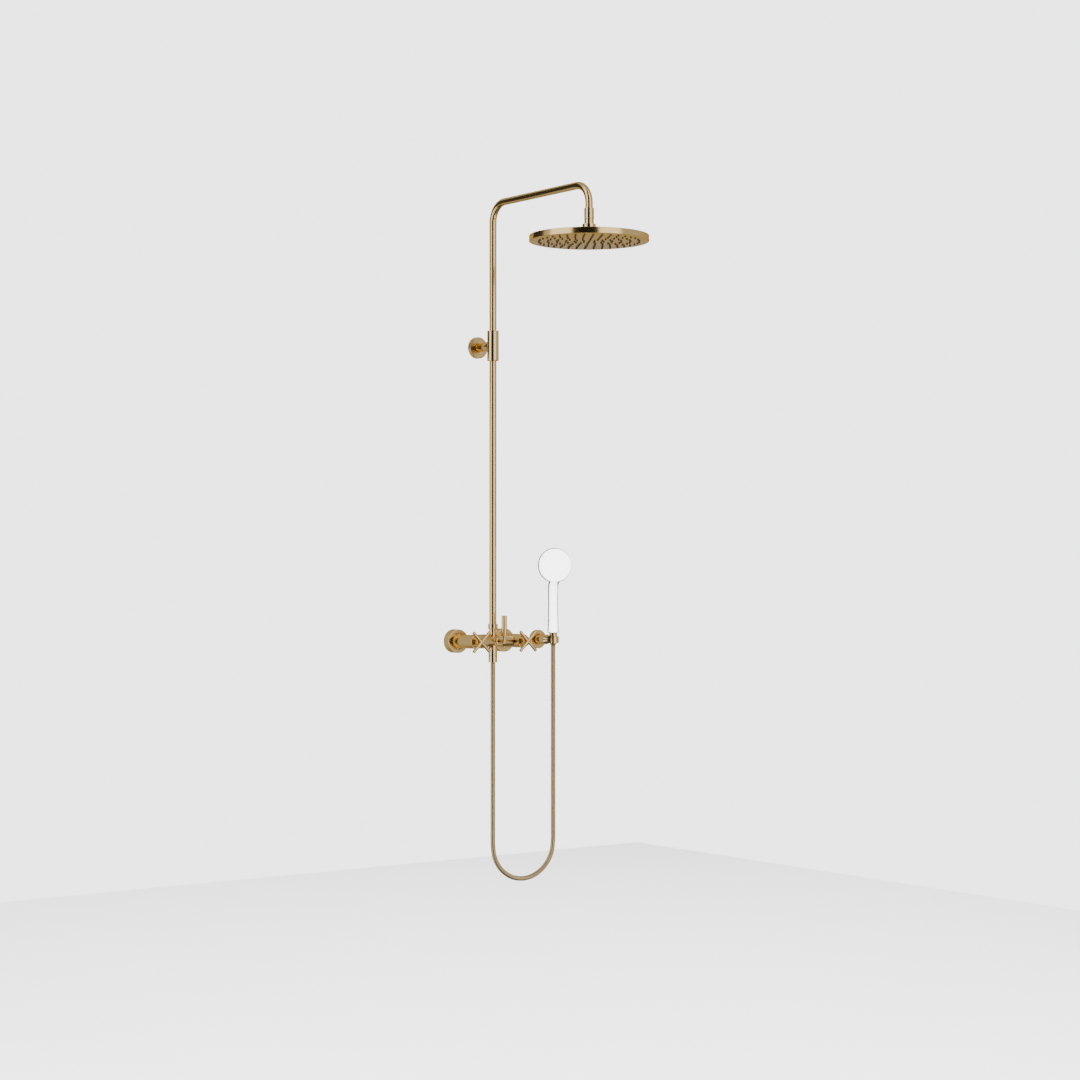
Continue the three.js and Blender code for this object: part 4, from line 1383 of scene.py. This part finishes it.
@dataclass
class HandShower:
    """The white hand shower, with the dark seal between its front and back shells.

    Attributes:
        turn: How far it is turned in its cradle towards the mixer, in degrees.
        foot: The height of the handle's foot.
        radius: Its head's radius.
        height: The head's centre above the handle's foot.
        forward: The head's centre in front of the handle's axis.
        half: Half of the head's thickness.
        recess: The radius of the recess in the head's front.
        inset: How deep the recess is.
        seal: The radius of the seal's bead.
        neck_angle: How far from straight down the seal meets the head, in degrees.
        rim_steps: How many short lengths the seal has round the head.
    """

    turn: float = 22.0
    foot: float = 18.7
    radius: float = 44.5
    height: float = 181.0
    forward: float = 15.5
    half: float = 9.0
    recess: float = 40.0
    inset: float = 1.8
    seal: float = 2.1
    neck_angle: float = 19.0
    rim_steps: int = 48

    def placed(self, shape: Shape) -> Shape:
        """Put a shape made about the handle's foot into the cradle."""
        return shape.turned(-self.turn, "Z").moved(HOLDER_SIDE, -CRADLE_OUT, self.foot)

    def build(self) -> None:
        """Make its pieces."""
        centre = (0.0, -self.forward, self.height)
        handle = [
            (0.0, 0.0),
            (13.4, 0.0),
            (12.5, 30.0),
            (11.8, 73.0),
            (12.2, 142.0),
            (8.2, 146.0),
            (0.0, 146.0),
        ]
        front = lathe(self.head_outline(), Axis.OUT, 1.6).moved(*centre)
        self.placed(lathe(handle, Axis.UP, 2.0) + front).show("handset_body", WHITE)
        plate = rod(self.recess - GAP, self.half - self.inset, self.half, Axis.OUT, 0.4).moved(*centre)
        self.placed(plate).show("handset_face", WHITE)
        self.placed(self.nozzles()).show("handset_mat", PALE_SILICONE)
        self.build_seal()

    def head_outline(self) -> list[Pair]:
        """The outline of the head's round body, from the back to the recess in its front."""
        radius, half, floor = self.radius, self.half, self.half - self.inset
        back = [(0.0, -half), (radius - 6.0, -half), (radius - 2.0, 3.5 - half), (radius, 7.0 - half)]
        front = [(radius, half - 2.5), (radius - 2.0, half), (self.recess, half), (self.recess, floor)]
        return [*back, *front, (0.0, floor)]

    def nozzles(self) -> Shape:
        """The small nozzles that stand out of the head's face."""
        half = self.half
        outline = [
            (0.0, half - 1.0),
            (2.0, half - 1.0),
            (1.9, half + 1.0),
            (1.4, half + 2.2),
            (0.0, half + 2.2),
        ]
        one = lathe(outline, Axis.OUT, 0.3, 16)
        shape = Shape()
        for x, z in nozzle_places(HANDSET_RINGS):
            shape = shape + one.moved(x, -self.forward, self.height - z)
        return shape

    def build_seal(self) -> None:
        """Make the seal: up one side of the handle, round the head and down the other side."""
        side = [
            Vector((13.4, 0.0, 0.5)),
            Vector((12.9, 0.0, 18.0)),
            Vector((12.1, 0.0, 50.0)),
            Vector((11.8, 0.0, 75.0)),
            Vector((12.0, 0.0, 105.0)),
            Vector((12.2, -0.5, 124.0)),
            Vector((12.6, -7.0, 134.0)),
        ]
        first = math.radians(self.neck_angle)
        rim = []
        for i in range(self.rim_steps + 1):
            angle = first + (2 * math.pi - 2 * first) * i / self.rim_steps
            across, down = self.radius * math.sin(angle), self.radius * math.cos(angle)
            rim.append(Vector((across, -self.forward, self.height - down)))
        mirrored = [Vector((-at.x, at.y, at.z)) for at in reversed(side)]
        path = catmull_rom(side + rim + mirrored, 6)
        bead = sweep(path, [self.seal] * len(path), Vector((0.0, 1.0, 0.0)), 12)
        foot = pipe(14.0, 9.0, -0.2, 1.1, Axis.UP, 0.3)
        made = self.placed(bead + foot).mesh_object("handset_seal", RUBBER)
        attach(made, "hand_shower")


# ---------------------------------------------------------------- the studio


@dataclass
class Studio:
    """The camera, the floor, the lights and what the brass reflects.

    Attributes:
        eye: The camera's place, in metres.
        turn: The camera's direction, in degrees to the right of straight at the wall.
        tilt: How far it looks up, in degrees.
        lens: Its focal length, in millimetres on a 36 mm sensor.
        floor: The floor's height, in metres.
        floor_reach: How far the floor reaches each way, in millimetres.
        flag: The black flag's left, right, lower and upper edges, in millimetres.
        flag_depth: How far the flag is behind the wall's plane, in millimetres.
        left_box: The left soft box: where it starts and ends, in degrees to the right of the camera's
            direction, and its strength.
        right_box: The right soft box, in the same form.
        fill: The strength of the light all round.
        gap: The dark gap between the boxes: where it starts and ends, and how dark it is.
        above: The strength overhead.
        below: How dark it is underfoot.
        backdrop: The strength that the camera sees.
    """

    eye: Point = (-3.4465, -4.8944, 0.1971)
    turn: float = 36.769
    tilt: float = 0.67
    lens: float = 74.95
    floor: float = -1.05
    floor_reach: float = 3000.0
    flag: tuple[float, float, float, float] = (-1000.0, -250.0, 750.0, 2000.0)
    flag_depth: float = 350.0
    left_box: Point = (-80.0, -33.0, 1.6)
    right_box: Point = (17.0, 62.0, 1.5)
    fill: float = 0.74
    gap: Point = (-34.0, 17.0, 0.98)
    above: float = 0.7
    below: float = 0.8
    backdrop: float = 3.4

    def build_camera(self) -> None:
        """Make the camera."""
        camera = bpy.data.cameras.new("camera")
        camera.lens = self.lens
        camera.sensor_width = 36.0
        camera.dof.use_dof = False
        made = bpy.data.objects.new("camera", camera)
        made.location = self.eye
        made.rotation_euler = (math.radians(90 + self.tilt), 0.0, math.radians(-self.turn))
        bpy.context.scene.collection.objects.link(made)
        bpy.context.scene.camera = made

    def build_floor(self) -> None:
        """Make the floor."""
        reach, height = self.floor_reach, self.floor / MM
        square = ((-reach, -reach), (reach, -reach), (reach, reach), (-reach, reach))
        corners = [Vector((x, y, height)) for x, y in square]
        made = Shape(corners, [(0, 1, 2, 3)]).mesh_object("floor", PaleFloor("pale_floor"))
        made.visible_glossy = False

    def build_lights(self) -> None:
        """Make two large soft lights that shine on the middle of the column."""
        middle = Vector((0.0, -0.2, 0.3))
        for name, place, power, size in (
            ("front", (-3.6, -5.1, 0.6), 1500.0, 1.8),
            ("overhead", (0.0, -0.5, 3.4), 1050.0, 8.0),
        ):
            light = bpy.data.lights.new(name, "AREA")
            light.energy = power
            light.size = size
            made = bpy.data.objects.new(name, light)
            made.location = place
            made.rotation_euler = (Vector(place) - middle).to_track_quat("Z", "Y").to_euler()
            made.visible_camera = False
            made.visible_glossy = False
            bpy.context.scene.collection.objects.link(made)

    def build_flag(self) -> None:
        """Make the black flag behind the wall's plane that darkens the arm."""
        left, right, low, high = self.flag
        upright = ((left, low), (right, low), (right, high), (left, high))
        corners = [Vector((x, self.flag_depth, z)) for x, z in upright]
        made = Shape(corners, [(0, 1, 2, 3)]).mesh_object("flag", RUBBER)
        made.visible_camera = False
        made.visible_diffuse = False
        made.visible_shadow = False

    def build_world(self) -> None:
        """Make the white surroundings, with the soft boxes and dark gap that the brass mirrors."""
        world = bpy.data.worlds.new("studio")
        bpy.context.scene.world = world
        world.use_nodes = True
        graph = Graph(world.node_tree)
        direction = graph.value("ShaderNodeTexCoord", "Generated")
        parts = graph.node("ShaderNodeSeparateXYZ", {"Vector": direction})
        x, y, z = (Value(graph, parts.outputs[i]) for i in range(3))
        facing = math.radians(self.turn)
        ahead = x * -math.sin(facing) + y * -math.cos(facing)
        right = x * math.cos(facing) - y * math.sin(facing)
        azimuth = right.angle_to(ahead) * math.degrees(1)
        height = z.arcsine() * math.degrees(1)
        soft = 3
        level = azimuth.window(*self.left_box[:2], soft) * self.left_box[2]
        level = level + azimuth.window(*self.right_box[:2], soft) * self.right_box[2]
        level = level + self.fill
        level = level * (1 - azimuth.window(*self.gap[:2], soft) * self.gap[2])
        above = height.ramp(45, 75)
        below = height.ramp(-55, -25, 1.0, 0.0)
        level = level * (1 - above) + above * self.above
        level = level * (1 - below * self.below)
        seen = graph.value("ShaderNodeLightPath", "Is Camera Ray")
        strength = seen * self.backdrop + (1 - seen) * level
        shade = graph.value("ShaderNodeBackground", 0, {"Color": (1, 1, 1, 1), "Strength": strength})
        graph.node("ShaderNodeOutputWorld", {"Surface": shade})


# ---------------------------------------------------------------- building

BODY_OF: dict[str, str] = {
    node: body for body, nodes in frame["record"]["behaviour"]["bodies"].items() for node in nodes
}


def finish_inner_pieces() -> None:
    """Give every CAD piece that shows as it is a finish of its own."""
    slots = {row["node"]: row["material_slot"] for row in frame["record"]["subparts"]}
    for node, made in frame["nodes"].items():
        made.data.materials.clear()
        made.data.materials.append(PLAIN_FINISH[slots[node]].material())


def main() -> None:
    """Build the whole scene."""
    logging.basicConfig(level=logging.INFO, format="%(name)s: %(message)s")
    studio = Studio()
    studio.build_camera()
    hose = Hose()
    hose.build_nuts()
    hose.build()
    finish_inner_pieces()
    InletValve("hot", -HALF_SPACING).build()
    InletValve("cold", HALF_SPACING).build()
    Mixer().build()
    Riser().build()
    RainHead().build()
    Holder().build()
    HandShower().build()
    studio.build_floor()
    studio.build_lights()
    studio.build_flag()
    studio.build_world()


if __name__ == "__main__":
    main()
